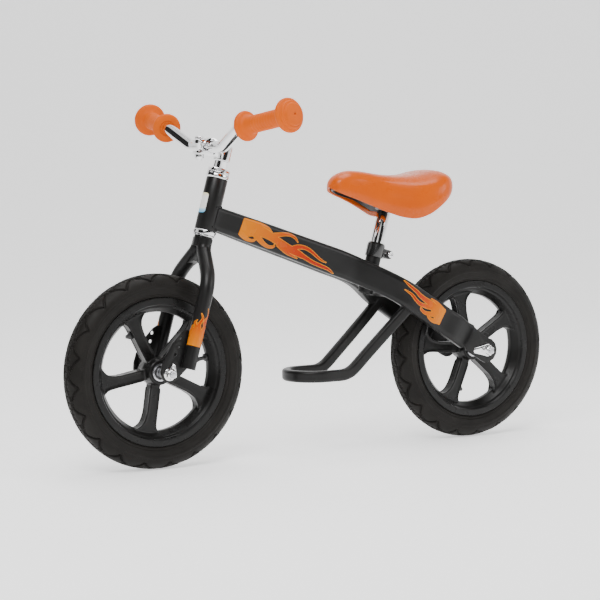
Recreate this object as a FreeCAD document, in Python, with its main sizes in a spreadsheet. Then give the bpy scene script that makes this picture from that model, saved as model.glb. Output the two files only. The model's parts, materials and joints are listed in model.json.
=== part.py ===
import FreeCAD, Part
import Sketcher
import math
import os
from FreeCAD import Vector, Placement, Rotation

# Child's balance bike, millimetres. +X is forward, +Y is the rider's left, +Z is up.
# The origin is on the floor, midway between the two wheel centres.

os.makedirs("parts", exist_ok=True)
doc = FreeCAD.newDocument("balance_bike")
sheet = doc.addObject("Spreadsheet::Sheet", "Sizes")

SIZES = [
    # wheels
    ("wheelbase", 603, "distance between the wheel centres"),
    ("tyre_radius", 152.5, "outer radius of the 12 inch tyre"),
    ("tyre_width", 48, "widest part of the tyre"),
    ("tyre_wall", 4.5, "rubber thickness"),
    ("bead_radius", 107, "where the tyre sits on the rim"),
    ("flange_radius", 116, "outer edge of the rim flange"),
    ("flange_half", 21, "half width over the rim flanges"),
    ("flange_thick", 3, "thickness of each rim flange"),
    ("window_radius", 93, "outer edge of the openings between spokes"),
    ("band_half", 16, "half width of the rim band"),
    ("hub_radius", 20, "moulded hub outside"),
    ("hub_half", 21, "half length of the hub"),
    ("spoke_width", 17, "spoke width across its face"),
    ("spoke_depth", 17, "spoke thickness along the axle"),
    ("spoke_count", 5, "spokes in each wheel"),
    ("front_spoke_turn", 46, "angle of one front spoke above straight back"),
    ("rear_spoke_turn", 31.5, "angle of one rear spoke above straight back"),
    ("bearing_radius", 14, "outside of the wheel bearing"),
    ("bearing_depth", 8, "width of the wheel bearing"),
    ("running_gap", 0.05, "radial clearance of every turning or sliding fit"),
    ("axle_radius", 5, "axle"),
    ("axle_tip", 4.6, "free end of the axle beyond the nut"),
    ("valve_turn", 10, "angle of the front valve above straight back"),
    ("rear_valve_turn", 139.5, "angle of the rear valve above straight back"),
    ("valve_radius", 3.2, "valve stem"),
    ("cap_radius", 4.2, "valve cap"),
    ("valve_tip", 68, "distance of the cap end from the wheel centre"),
    ("clip_reach", 71, "distance of the spoke clip from the wheel centre"),
    ("side_gap", 0.3, "gap between the spacer and the bearing"),
    # axle hardware
    ("front_plate", 47, "distance of the fork end plate from the middle"),
    ("rear_plate", 56.5, "distance of the frame end plate from the middle"),
    ("plate_thick", 4, "end plate thickness"),
    ("spacer_radius", 8, "axle spacer"),
    ("tab_thick", 1.6, "retaining washer thickness"),
    ("tab_radius", 10.5, "round end of the retaining washer"),
    ("nut_flats", 15, "axle nut across flats"),
    ("nut_flange", 9.7, "axle nut flange radius"),
    ("nut_height", 8.5, "axle nut height"),
    ("axle_stub", 3, "axle length beyond the nut"),
    # steering axis
    ("head_lean", 16, "angle of the steering and seat tubes from upright"),
    ("head_x", 209.6, "bottom of the head tube, forward"),
    ("head_z", 369, "bottom of the head tube, height"),
    ("head_length", 84, "head tube"),
    ("head_radius", 17, "head tube outside"),
    ("head_bore", 15, "head tube inside"),
    ("cup_radius", 18.8, "headset cup outside"),
    ("cup_height", 7, "headset cup height outside the tube"),
    ("cup_skirt", 8, "headset cup length inside the tube"),
    ("cup_wall", 2, "headset cup wall"),
    ("race_gap", 0.5, "gap between turning and fixed headset parts"),
    ("steerer_radius", 12.7, "steerer outside"),
    ("quill_radius", 11.1, "stem quill outside"),
    ("lock_height", 5, "lock nut height"),
    # fork
    ("leg_offset", 2, "fork legs ahead of the steering axis"),
    ("leg_spacing", 53.5, "fork leg distance from the middle"),
    ("leg_radius", 11.5, "fork leg outside"),
    ("tube_wall", 1.6, "wall of every steel tube"),
    ("leg_drop", 219, "bottom of the fork legs below the head tube"),
    ("crown_radius", 14.5, "fork crown"),
    ("crown_bottom", 27, "bottom of the crown below the head tube"),
    ("leg_start", 9, "fork leg distance from the middle at the crown"),
    ("leg_bend_top", 30, "first bend below the head tube"),
    ("leg_bend_low", 78, "second bend below the head tube"),
    ("leg_turn_top", 22, "radius of the first bend"),
    ("leg_turn_low", 60, "radius of the second bend"),
    ("web_half", 7, "half thickness of the fork web"),
    ("lug_hole", 3, "radius of the holes in the fork end plates"),
    # frame tubes
    ("tube_width", 21, "width of each flat oval frame tube"),
    ("tube_nose_width", 16.6, "width of each frame tube at the head tube"),
    ("tube_gap", 0.4, "half the gap between the two tubes along the middle"),
    ("tube_corner", 7.5, "corner radius of the frame tubes"),
    ("main_x", 184, "a point on the main tube centre line, forward"),
    ("main_z", 384.3, "a point on the main tube centre line, height"),
    ("main_pitch", 19.3, "slope of the main tube"),
    ("stay_x", -262, "rear end of the stay, forward"),
    ("stay_z", 178, "rear end of the stay, height"),
    ("stay_pitch", 32.2, "slope of the stay"),
    ("stay_spacing", 52, "stay centre distance from the middle"),
    ("flare_front", -52, "where the two tubes start to spread"),
    ("flare_rear", -148, "where the two stays run parallel again"),
    ("pitch_blend", 45, "length of the bend on each side of its middle"),
    ("tube_tall_front", 38, "main tube height at the head tube"),
    ("tube_tall_mid", 45, "main tube height before the bend"),
    ("tube_tall_waist", 42, "tube height in the bend"),
    ("mid_x", -23, "where the main tube is tallest"),
    ("waist_x", -115, "where the tube is squeezed by the bend"),
    ("full_x", -209, "where the stay is tall again"),
    # seat
    ("seat_x", -116.5, "top of the seat tube, forward"),
    ("seat_z", 338.4, "top of the seat tube, height"),
    ("seat_tube_radius", 12.7, "seat tube outside"),
    ("seat_tube_length", 86, "seat tube"),
    ("collar_radius", 15, "clamp collar outside"),
    ("collar_height", 24, "clamp collar height"),
    ("ear_reach", 24.4, "clamp bolt behind the seat tube axis"),
    ("ear_drop", 14, "clamp bolt below the top of the collar"),
    ("post_radius", 11, "seat post outside"),
    ("post_below", 66, "seat post length inside the seat tube"),
    ("post_above", 72, "seat post length above the collar"),
    # footrest
    ("foot_spacing", 43, "footrest tube distance from the middle"),
    ("foot_top_spacing", 48, "the same at the stay"),
    ("foot_height", 128.3, "footrest centre line height"),
    ("foot_front", 12, "centre of the front half circle, forward"),
    ("foot_bend", -31, "corner between level and sloping parts, forward"),
    ("foot_slope", 42, "slope of the footrest legs"),
    ("foot_top_x", -150, "top of the footrest legs, forward"),
    ("foot_turn", 42, "radius of the bend between them"),
    ("foot_tall", 19, "footrest tube height"),
    ("foot_wide", 14, "footrest tube width"),
    ("foot_corner", 5, "footrest tube corner radius"),
    # handlebar
    ("bar_forward", 30.1, "bar ahead of the steering axis"),
    ("bar_rise", 127.9, "bar above the bottom of the head tube"),
    ("bar_bend_y", 50, "first bend of the bar from the middle"),
    ("bar_knee_y", 113, "second bend of the bar from the middle"),
    ("bar_knee_x", 210.4, "second bend, forward"),
    ("bar_knee_z", 528.8, "second bend, height"),
    ("bar_end_x", 187.2, "end of the bar, forward"),
    ("bar_end_y", 231, "end of the bar from the middle"),
    ("bar_end_z", 547.3, "end of the bar, height"),
    ("bar_radius", 9.5, "handlebar tube outside"),
    ("bar_turn", 30, "bend radius of the bar"),
    ("bar_wall", 1.5, "bar wall"),
    ("grip_inner_y", 129, "grip inner flange centre from the middle"),
    ("grip_outer_y", 223, "grip outer flange centre from the middle"),
    ("grip_radius", 13.8, "grip barrel"),
    ("grip_inner_radius", 23.5, "grip inner flange"),
    ("grip_outer_radius", 26.5, "grip outer flange"),
    # stem
    ("boss_radius", 13.5, "stem boss round the steering axis"),
    ("boss_bottom", 112, "bottom of the boss above the head tube bottom"),
    ("boss_top", 138, "top of the boss above the head tube bottom"),
    ("quill_bottom", 44, "bottom of the quill above the head tube bottom"),
    ("clamp_radius", 14, "stem clamp outside"),
    ("clamp_half", 15, "half width of the stem clamp"),
    ("clamp_bolt_x", 14.8, "pinch bolt ahead of the bar centre"),
    ("clamp_bolt_radius", 4, "pinch bolt"),
    ("ear_top", 11.3, "top face of the upper ear above the bar centre"),
    ("ear_thick", 5.5, "thickness of each ear"),
    # saddle
    ("saddle_half", 71, "half width of the saddle"),
    ("saddle_shell", 5, "thickness of the saddle cover"),
    ("base_thick", 2.5, "thickness of the saddle base shell"),
    ("saddle_gap", 0.3, "gap between the saddle cover and its base"),
    ("nose_lift", 3, "how far the base stops short of the cover's lower edge at the nose"),
    ("base_lift", 8, "how far the base stops short of the cover's lower edge at the back"),
]

for number, (alias, value, note) in enumerate(SIZES, start=1):
    cell = "B" + str(number)
    sheet.set("A" + str(number), note)
    sheet.set(cell, str(value))
    sheet.setAlias(cell, alias)
doc.recompute()


class Dim:
    """A length with both its value and the spreadsheet expression that gives it."""

    def __init__(self, value, text):
        self.value = float(value)
        self.text = text

    def __add__(self, other):
        other = dim(other)
        return Dim(self.value + other.value, "(" + self.text + " + " + other.text + ")")

    def __radd__(self, other):
        return dim(other) + self

    def __sub__(self, other):
        other = dim(other)
        return Dim(self.value - other.value, "(" + self.text + " - " + other.text + ")")

    def __rsub__(self, other):
        return dim(other) - self

    def __mul__(self, other):
        other = dim(other)
        return Dim(self.value * other.value, "(" + self.text + " * " + other.text + ")")

    def __rmul__(self, other):
        return dim(other) * self

    def __truediv__(self, other):
        other = dim(other)
        return Dim(self.value / other.value, "(" + self.text + " / " + other.text + ")")

    def __neg__(self):
        return Dim(-self.value, "(0 - " + self.text + ")")


def dim(item):
    if isinstance(item, Dim):
        return item
    return Dim(item, repr(float(item)))


def size(alias):
    return Dim(float(sheet.get(alias)), "Sizes." + alias)


S = {alias: size(alias) for alias, value, note in SIZES}
N = {alias: S[alias].value for alias in S}


def bind(item, prop, amount):
    item.setExpression(prop, dim(amount).text)


# ---------------------------------------------------------------- placements
LEAN = math.radians(N["head_lean"])
TILT = Rotation(Vector(0, 1, 0), -N["head_lean"])
UP = Vector(-math.sin(LEAN), 0, math.cos(LEAN))
AHEAD = Vector(math.cos(LEAN), 0, math.sin(LEAN))
HEAD = Vector(N["head_x"], 0, N["head_z"])
SEAT = Vector(N["seat_x"], 0, N["seat_z"])
FRONT = Vector(N["wheelbase"] / 2, 0, N["tyre_radius"])
REAR = Vector(-N["wheelbase"] / 2, 0, N["tyre_radius"])
BAR = HEAD + AHEAD * N["bar_forward"] + UP * N["bar_rise"]
STEERING = Placement(HEAD, TILT)
SEATING = Placement(SEAT, TILT)


def steering_point(forward, side, up):
    return HEAD + AHEAD * forward + Vector(0, side, 0) + UP * up


# ---------------------------------------------------------------- body helpers
made = {}


def new_body(label, placement=None):
    body = doc.addObject("PartDesign::Body", label)
    body.Label = label
    if placement is not None:
        body.Placement = placement
    made[label] = body
    return body


def datum(body, role):
    for feature in body.Origin.OriginFeatures:
        if feature.Role == role:
            return feature
    raise ValueError(role)


def new_sketch(body, role, name):
    sketch = body.newObject("Sketcher::SketchObject", name)
    sketch.AttachmentSupport = [(datum(body, role), "")]
    sketch.MapMode = "FlatFace"
    return sketch


def pin_point(sketch, geometry, end, across, along):
    for kind, amount in (("DistanceX", dim(across)), ("DistanceY", dim(along))):
        if amount.value == 0.0:
            axis = -2 if kind == "DistanceX" else -1
            sketch.addConstraint(Sketcher.Constraint("PointOnObject", geometry, end, axis))
        else:
            rule = Sketcher.Constraint(kind, -1, 1, geometry, end, amount.value)
            index = sketch.addConstraint(rule)
            if "Sizes." in amount.text:
                sketch.setExpression("Constraints[" + str(index) + "]", amount.text)


def draw_outline(sketch, corners):
    first = sketch.GeometryCount
    spots = [Vector(dim(a).value, dim(b).value, 0) for a, b in corners]
    total = len(spots)
    for i in range(total):
        sketch.addGeometry(Part.LineSegment(spots[i], spots[(i + 1) % total]), False)
    for i in range(total):
        follower = first + (i + 1) % total
        sketch.addConstraint(Sketcher.Constraint("Coincident", first + i, 2, follower, 1))
    for i, (a, b) in enumerate(corners):
        pin_point(sketch, first + i, 1, a, b)


def draw_circle(sketch, across, along, radius):
    centre = Vector(dim(across).value, dim(along).value, 0)
    shape = Part.Circle(centre, Vector(0, 0, 1), dim(radius).value)
    index = sketch.addGeometry(shape, False)
    pin_point(sketch, index, 3, across, along)
    rule = sketch.addConstraint(Sketcher.Constraint("Radius", index, dim(radius).value))
    if "Sizes." in dim(radius).text:
        sketch.setExpression("Constraints[" + str(rule) + "]", dim(radius).text)


def revolve(body, corners, axis, name="Turned"):
    """Turn an outline of (radius, distance along the axis) about the body's Y or Z axis."""
    role = "XY_Plane" if axis == "Y_Axis" else "XZ_Plane"
    sketch = new_sketch(body, role, name + "Sketch")
    draw_outline(sketch, corners)
    doc.recompute()
    turn = body.newObject("PartDesign::Revolution", name)
    turn.Profile = sketch
    turn.ReferenceAxis = (datum(body, axis), [""])
    turn.Angle = 360
    doc.recompute()
    return turn


def turned(label, corners, axis, placement=None):
    body = new_body(label, placement)
    revolve(body, corners, axis)
    return body


def pad(body, sketch, length, name="Plate"):
    doc.recompute()
    block = body.newObject("PartDesign::Pad", name)
    block.Profile = sketch
    bind(block, "Length", length)
    block.Midplane = True
    doc.recompute()
    return block


def plate(label, role, corners, length, placement=None, holes=()):
    body = new_body(label, placement)
    sketch = new_sketch(body, role, "Outline")
    draw_outline(sketch, corners)
    for across, along, radius in holes:
        draw_circle(sketch, across, along, radius)
    pad(body, sketch, length)
    return body


def fixed(label, shape):
    item = doc.addObject("Part::Feature", label)
    item.Label = label
    item.Shape = shape
    made[label] = item
    return item


def one_solid(shape):
    solids = sorted(shape.Solids, key=lambda s: s.Volume)
    return solids[-1]


# ---------------------------------------------------------------- shape helpers
def ring(centre, direction, radius):
    return Part.Wire([Part.makeCircle(radius, centre, direction)])


def bent_wire(points, bends):
    """Straight runs joined by tangent arcs; bends holds one radius per inner corner."""
    edges = []
    start = points[0]
    for i in range(1, len(points) - 1):
        corner = points[i]
        back = (points[i - 1] - corner).normalize()
        onward = (points[i + 1] - corner).normalize()
        half = back.getAngle(onward) / 2
        reach = bends[i - 1] / math.tan(half)
        entry = corner + back * reach
        leave = corner + onward * reach
        middle = (back + onward).normalize()
        hub = corner + middle * (bends[i - 1] / math.sin(half))
        crest = hub - middle * bends[i - 1]
        if (entry - start).Length > 1e-6:
            edges.append(Part.makeLine(start, entry))
        edges.append(Part.Arc(entry, crest, leave).toShape())
        start = leave
    edges.append(Part.makeLine(start, points[-1]))
    return Part.Wire(edges)


def round_tube(points, bends, radius):
    spine = bent_wire(points, bends)
    start = ring(points[0], points[1] - points[0], radius)
    return spine.makePipeShell([start], True, True)


def oval_wire(centre, along, tall, wide, corner):
    """Rounded rectangle square to 'along', its short side level."""
    along = Vector(along).normalize()
    side = Vector(-along.y, along.x, 0).normalize()
    top = along.cross(side)
    a = wide / 2
    b = tall / 2
    c = min(corner, a - 0.2, b - 0.2)
    k = c * (1 - math.sqrt(0.5))

    def at(p, q):
        return centre + side * p + top * q

    edges = [Part.makeLine(at(-a, -b + c), at(-a, b - c))]
    edges.append(Part.Arc(at(-a, b - c), at(-a + k, b - k), at(-a + c, b)).toShape())
    edges.append(Part.makeLine(at(-a + c, b), at(a - c, b)))
    edges.append(Part.Arc(at(a - c, b), at(a - k, b - k), at(a, b - c)).toShape())
    edges.append(Part.makeLine(at(a, b - c), at(a, -b + c)))
    edges.append(Part.Arc(at(a, -b + c), at(a - k, -b + k), at(a - c, -b)).toShape())
    edges.append(Part.makeLine(at(a - c, -b), at(-a + c, -b)))
    edges.append(Part.Arc(at(-a + c, -b), at(-a + k, -b + k), at(-a, -b + c)).toShape())
    return Part.Wire(edges)


def oval_loft(stations, shrink):
    wires = []
    for centre, along, tall, wide, corner in stations:
        inner = max(corner - shrink, 1.0)
        wires.append(oval_wire(centre, along, tall - 2 * shrink, wide - 2 * shrink, inner))
    return Part.makeLoft(wires, True, False)


def smooth(amount):
    amount = min(max(amount, 0.0), 1.0)
    return amount * amount * (3 - 2 * amount)


def mirrored(shape):
    return shape.mirror(Vector(0, 0, 0), Vector(0, 1, 0))


# ---------------------------------------------------------------- wheels
def wheel(prefix, centre, spoke_turn, valve_turn, clip_turn):
    place = Placement(centre, Rotation())
    flange = S["flange_half"]
    inner_flange = S["flange_half"] - S["flange_thick"]

    tyre = S["tyre_radius"]
    half = S["tyre_width"] / 2
    outer = [
        (tyre, -half * 0.22), (tyre, half * 0.22), (tyre - 2.2, half * 0.52),
        (tyre - 7.0, half * 0.78), (tyre - 14.0, half * 0.95), (tyre - 23.0, half),
        (tyre - 31.0, half * 0.93), (S["flange_radius"], half * 0.8),
        (S["flange_radius"], inner_flange), (S["bead_radius"], inner_flange),
        (S["bead_radius"], inner_flange - S["tyre_wall"]),
        (S["flange_radius"] - 1.0, inner_flange - S["tyre_wall"]),
        (tyre - 31.0, half * 0.93 - S["tyre_wall"]), (tyre - 23.0, half - S["tyre_wall"]),
        (tyre - 14.0, half * 0.95 - S["tyre_wall"]),
        (tyre - S["tyre_wall"] - 6.0, half * 0.6), (tyre - S["tyre_wall"] - 1.5, half * 0.25),
    ]
    mirror_side = [(r, -y) for r, y in reversed(outer[1:])]
    turned(prefix + "_tyre", [outer[0]] + outer[1:] + mirror_side[:-1], "Y_Axis", place)

    rim = new_body(prefix + "_rim", place)
    spokes = new_sketch(rim, "XZ_Plane", "SpokeOutline")
    across = S["spoke_width"] / 2
    reach = S["window_radius"] + 5.0
    turn = math.radians(spoke_turn)
    # one spoke: straight sides, a wide sweep into the rim on its lower side and a short one
    # on its upper side
    side_points = [
        (0.0, across.value * 0.9), (30.0, across.value), (80.0, across.value * 0.94),
        (reach.value - 8.0, across.value + 1.0), (reach.value, across.value + 5.0),
        (reach.value - 2.0, -across.value - 26.0), (reach.value - 5.4, -across.value - 17.0),
        (reach.value - 11.0, -across.value - 9.0), (reach.value - 20.0, -across.value - 3.4),
        (reach.value - 34.0, -across.value - 0.4), (30.0, -across.value),
        (0.0, -across.value * 0.9),
    ]
    corners = []
    for out, up in side_points:
        corners.append((-out * math.cos(turn) + up * math.sin(turn),
                        out * math.sin(turn) + up * math.cos(turn)))
    draw_outline(spokes, corners)
    first = pad(rim, spokes, S["spoke_depth"], "Spoke")
    pattern = rim.newObject("PartDesign::PolarPattern", "Spokes")
    pattern.Originals = [first]
    pattern.Axis = (datum(rim, "Y_Axis"), [""])
    pattern.Angle = 360
    bind(pattern, "Occurrences", S["spoke_count"])
    rim.Tip = pattern
    doc.recompute()
    hub = S["hub_half"]
    revolve(rim, [(0.0, -hub), (S["hub_radius"] - 2.0, -hub), (S["hub_radius"], -hub + 2.0),
                  (S["hub_radius"] + 2.5, 0.0), (S["hub_radius"], hub - 2.0),
                  (S["hub_radius"] - 2.0, hub), (0.0, hub)], "Y_Axis", "Hub")
    band = S["band_half"]
    window = S["window_radius"]
    profile = [
        (window, -4.5), (window + 1.2, -6.0), (window + 8.0, -band), (window + 11.0, -band - 1.5),
        (window + 12.5, -flange), (S["flange_radius"], -flange),
        (S["flange_radius"], -inner_flange), (S["bead_radius"], -inner_flange),
        (S["bead_radius"] - 4.0, -inner_flange + 5.0), (S["bead_radius"] - 7.0, -6.0),
        (S["bead_radius"] - 7.0, 6.0), (S["bead_radius"] - 4.0, inner_flange - 5.0),
        (S["bead_radius"], inner_flange), (S["flange_radius"], inner_flange),
        (S["flange_radius"], flange), (window + 12.5, flange), (window + 11.0, band + 1.5),
        (window + 8.0, band), (window + 1.2, 6.0), (window, 4.5),
    ]
    revolve(rim, profile, "Y_Axis", "RimBand")
    bore = new_sketch(rim, "XY_Plane", "BoreSketch")
    seat = hub - S["bearing_depth"]
    rest = S["bearing_radius"] - 3.0
    draw_outline(bore, [(0.0, -hub - 1.0), (S["bearing_radius"], -hub - 1.0),
                        (S["bearing_radius"], -seat), (rest, -seat), (rest, seat),
                        (S["bearing_radius"], seat), (S["bearing_radius"], hub + 1.0),
                        (0.0, hub + 1.0)])
    doc.recompute()
    cut = rim.newObject("PartDesign::Groove", "Bore")
    cut.Profile = bore
    cut.ReferenceAxis = (datum(rim, "Y_Axis"), [""])
    cut.Angle = 360
    doc.recompute()

    # the hole for the valve is drilled through the rim band
    valve_place = Placement(centre, Rotation(Vector(0, 1, 0), valve_turn - 90))
    drill = doc.addObject("Part::Cylinder", prefix + "ValveDrill")
    bind(drill, "Radius", S["valve_radius"])
    bind(drill, "Height", S["tyre_radius"])
    drill.Placement = valve_place
    drilled = doc.addObject("Part::Cut", prefix + "_rim_drilled")
    drilled.Base = rim
    drilled.Tool = drill
    doc.recompute()
    drilled.Label = prefix + "_rim"
    rim.Label = prefix + "_rim_moulding"
    made[prefix + "_rim"] = drilled

    for side, sign in (("left", 1), ("right", -1)):
        inner = hub - S["bearing_depth"]
        turned(prefix + "_bearing_" + side, [
            (S["axle_radius"] + S["running_gap"], sign * inner),
            (S["bearing_radius"], sign * inner),
            (S["bearing_radius"], sign * hub),
            (S["bearing_radius"] - 3.0, sign * hub),
            (S["bearing_radius"] - 3.2, sign * (hub - 0.8)),
            (S["axle_radius"] + 2.2, sign * (hub - 0.8)),
            (S["axle_radius"] + 2.0, sign * hub),
            (S["axle_radius"] + S["running_gap"], sign * hub)], "Y_Axis", place)

    turned(prefix + "_valve", [
        (0.0, S["valve_tip"]), (S["cap_radius"] - 1.0, S["valve_tip"]),
        (S["cap_radius"], S["valve_tip"] + 1.5), (S["cap_radius"], S["valve_tip"] + 9.0),
        (S["valve_radius"], S["valve_tip"] + 9.5), (S["valve_radius"], window - 4.5),
        (S["cap_radius"] + 1.8, window - 4.0), (S["cap_radius"] + 1.8, window - 0.5),
        (S["valve_radius"], window - 0.5), (S["valve_radius"], S["bead_radius"] - 7.0),
        (S["cap_radius"] + 2.0, S["bead_radius"] - 7.0),
        (S["cap_radius"] + 1.0, S["bead_radius"] - 4.5), (0.0, S["bead_radius"] - 4.0)],
        "Z_Axis", valve_place)

    clip_place = Placement(centre, Rotation(Vector(0, 1, 0), clip_turn - 90))
    edge = across * 0.96
    plate(prefix + "_spoke_clip", "XZ_Plane", [
        (edge, S["clip_reach"] - 6.0), (edge + 5.0, S["clip_reach"] - 5.0),
        (edge + 9.5, S["clip_reach"] - 0.5), (edge + 8.0, S["clip_reach"] + 3.0),
        (edge + 3.0, S["clip_reach"] + 4.0), (edge, S["clip_reach"] + 6.5)],
        S["spoke_depth"] * 0.4, clip_place)


wheel("front", FRONT, N["front_spoke_turn"], N["valve_turn"], N["front_spoke_turn"] + 72)
wheel("rear", REAR, N["rear_spoke_turn"], N["rear_valve_turn"], N["rear_spoke_turn"] - 144)


# ---------------------------------------------------------------- axles and nuts
def hex_corners(flats):
    radius = flats / math.sqrt(3)
    corners = []
    for step in range(6):
        angle = math.radians(60 * step + 30)
        corners.append((radius * math.cos(angle), radius * math.sin(angle)))
    return corners


def hardware(prefix, centre, plate_middle, tab_turn, tab_length):
    face = plate_middle + S["plate_thick"] / 2
    inside = plate_middle - S["plate_thick"] / 2
    nut_start = face + S["tab_thick"]
    nut_end = nut_start + S["nut_height"]
    end = nut_end + S["axle_stub"]
    place = Placement(centre, Rotation())
    turned(prefix + "_axle", [
        (0.0, -end), (S["axle_tip"] - 0.8, -end), (S["axle_tip"], -end + 0.8),
        (S["axle_tip"], -nut_end), (S["axle_radius"], -nut_end), (S["axle_radius"], nut_end),
        (S["axle_tip"], nut_end), (S["axle_tip"], end - 0.8), (S["axle_tip"] - 0.8, end),
        (0.0, end)],
        "Y_Axis", place)
    for side, sign in (("left", 1), ("right", -1)):
        start = S["hub_half"] + S["side_gap"]
        turned(prefix + "_spacer_" + side, [
            (S["axle_radius"], sign * start), (S["axle_radius"] + 1.7, sign * start),
            (S["spacer_radius"], sign * (start + 4.0)), (S["spacer_radius"], sign * inside),
            (S["axle_radius"], sign * inside)], "Y_Axis", place)

        middle = (face + S["tab_thick"] / 2) * sign
        swing = Rotation(Vector(0, 1, 0), tab_turn - 90)
        washer = new_body(prefix + "_tab_washer_" + side,
                          Placement(centre + Vector(0, middle.value, 0), swing))
        sketch = new_sketch(washer, "XZ_Plane", "Outline")
        outline = []
        for step in range(13):
            angle = math.radians(150 + 20 * step)
            outline.append((S["tab_radius"] * math.cos(angle), S["tab_radius"] * math.sin(angle)))
        outline.append((4.2, tab_length - 1.5))
        outline.append((2.0, tab_length))
        outline.append((-2.0, tab_length))
        outline.append((-4.2, tab_length - 1.5))
        draw_outline(sketch, outline)
        draw_circle(sketch, 0.0, 0.0, S["axle_radius"])
        pad(washer, sketch, S["tab_thick"])

        nut = new_body(prefix + "_nut_" + side,
                       Placement(centre, Rotation(Vector(0, 0, 1), 0 if sign > 0 else 180)))
        revolve(nut, [
            (S["axle_radius"], nut_start), (S["nut_flange"], nut_start),
            (S["nut_flange"], nut_start + 1.2), (S["nut_flats"] / 2, nut_start + 2.4),
            (S["nut_flats"] / 2, nut_start + S["nut_height"] - 1.2),
            (S["nut_flats"] / 2 - 1.0, nut_start + S["nut_height"]),
            (S["axle_radius"], nut_start + S["nut_height"])], "Y_Axis", "Barrel")
        flats = new_sketch(nut, "XZ_Plane", "Hexagon")
        flats.AttachmentOffset = Placement(
            Vector(0, 0, -(nut_start + S["nut_height"] / 2).value), Rotation())
        bind(flats, "AttachmentOffset.Base.z", -(nut_start + S["nut_height"] / 2))
        draw_outline(flats, hex_corners(S["nut_flats"]))
        draw_circle(flats, 0.0, 0.0, S["axle_radius"])
        pad(nut, flats, S["nut_height"] - 2.4, "Hex")


hardware("front", FRONT, S["front_plate"], 62, 16.5)
hardware("rear", REAR, S["rear_plate"], 178, 29.0)

# ---------------------------------------------------------------- headset
cup_bore = S["cup_radius"] - S["cup_wall"]
skirt_bore = S["head_bore"] - 1.4
turned("head_tube", [
    (S["head_bore"], 0.0), (S["head_radius"], 0.0), (S["head_radius"], S["head_length"]),
    (S["head_bore"], S["head_length"])], "Z_Axis", STEERING)
turned("headset_lower_cup", [
    (skirt_bore, S["cup_skirt"]), (skirt_bore, -2.0), (cup_bore, -2.0),
    (cup_bore, -S["cup_height"]), (S["cup_radius"], -S["cup_height"]),
    (S["cup_radius"], -2.0), (S["cup_radius"] - 1.2, 0.0), (S["head_bore"], 0.0),
    (S["head_bore"], S["cup_skirt"])], "Z_Axis", STEERING)
upper = S["head_length"]
turned("headset_upper_cup", [
    (skirt_bore, upper - S["cup_skirt"]), (skirt_bore, upper + 2.0), (cup_bore, upper + 2.0),
    (cup_bore, upper + S["cup_height"] - 0.6), (S["cup_radius"], upper + S["cup_height"] - 0.6),
    (S["cup_radius"], upper + 2.0), (S["cup_radius"] - 1.2, upper), (S["head_bore"], upper),
    (S["head_bore"], upper - S["cup_skirt"])], "Z_Axis", STEERING)
race_top = -S["cup_height"] - S["race_gap"]
crown_top = race_top - 2.5
turned("crown_race", [
    (S["steerer_radius"], crown_top), (S["crown_radius"] + 2.6, crown_top),
    (S["crown_radius"] + 2.6, race_top), (cup_bore - S["race_gap"], race_top),
    (cup_bore - 2.2, race_top + 2.6), (S["steerer_radius"], race_top + 2.6)],
    "Z_Axis", STEERING)
upper_race = upper + S["cup_height"] - 0.6 + S["race_gap"]
turned("headset_upper_race", [
    (S["steerer_radius"], upper + 2.6), (cup_bore - 2.4, upper + 2.6),
    (cup_bore - S["race_gap"], upper_race), (S["cup_radius"] - 0.6, upper_race),
    (S["cup_radius"] - 0.6, upper_race + 3.0), (S["cup_radius"] - 1.6, upper_race + 4.0),
    (S["steerer_radius"], upper_race + 4.0)], "Z_Axis", STEERING)
lock_start = upper_race + 4.0
steerer_top = lock_start + S["lock_height"]
lock = new_body("headset_lock_nut", STEERING)
lock_sketch = new_sketch(lock, "XY_Plane", "Hexagon")
lock_sketch.AttachmentOffset = Placement(
    Vector(0, 0, (lock_start + S["lock_height"] / 2).value), Rotation())
bind(lock_sketch, "AttachmentOffset.Base.z", lock_start + S["lock_height"] / 2)
draw_outline(lock_sketch, hex_corners(S["cup_radius"] * 1.62))
draw_circle(lock_sketch, 0.0, 0.0, S["steerer_radius"])
pad(lock, lock_sketch, S["lock_height"], "Hex")
steerer_bore = S["quill_radius"] + S["running_gap"]
turned("fork_steerer", [
    (steerer_bore, -S["crown_bottom"] + 4.0), (S["steerer_radius"], -S["crown_bottom"] + 4.0),
    (S["steerer_radius"], steerer_top), (steerer_bore, steerer_top)], "Z_Axis", STEERING)

# ---------------------------------------------------------------- fork
leg_points = [
    steering_point(0, N["leg_start"], crown_top.value - 3),
    steering_point(0, N["leg_start"], -N["leg_bend_top"]),
    steering_point(N["leg_offset"], N["leg_spacing"], -N["leg_bend_low"]),
    steering_point(N["leg_offset"], N["leg_spacing"], -N["leg_drop"]),
]
leg_bends = [N["leg_turn_top"], N["leg_turn_low"]]
leg_solid = round_tube(leg_points, leg_bends, N["leg_radius"])
leg_inside_points = list(leg_points)
leg_inside_points[-1] = leg_points[-1] + UP * 2.0
leg_inside = round_tube(leg_inside_points, leg_bends, N["leg_radius"] - N["tube_wall"])
crown_height = N["crown_bottom"] + crown_top.value
crown_block = Part.makeCylinder(N["crown_radius"], crown_height,
                                steering_point(0, 0, -N["crown_bottom"]), UP)
half_space = Part.makeBox(600, 300, 900, Vector(-50, 0, 0))
left_leg_full = leg_solid.common(half_space)
left_leg = one_solid(left_leg_full.cut(leg_inside).cut(crown_block))
fixed("fork_leg_left", left_leg)
fixed("fork_leg_right", mirrored(left_leg))

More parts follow.
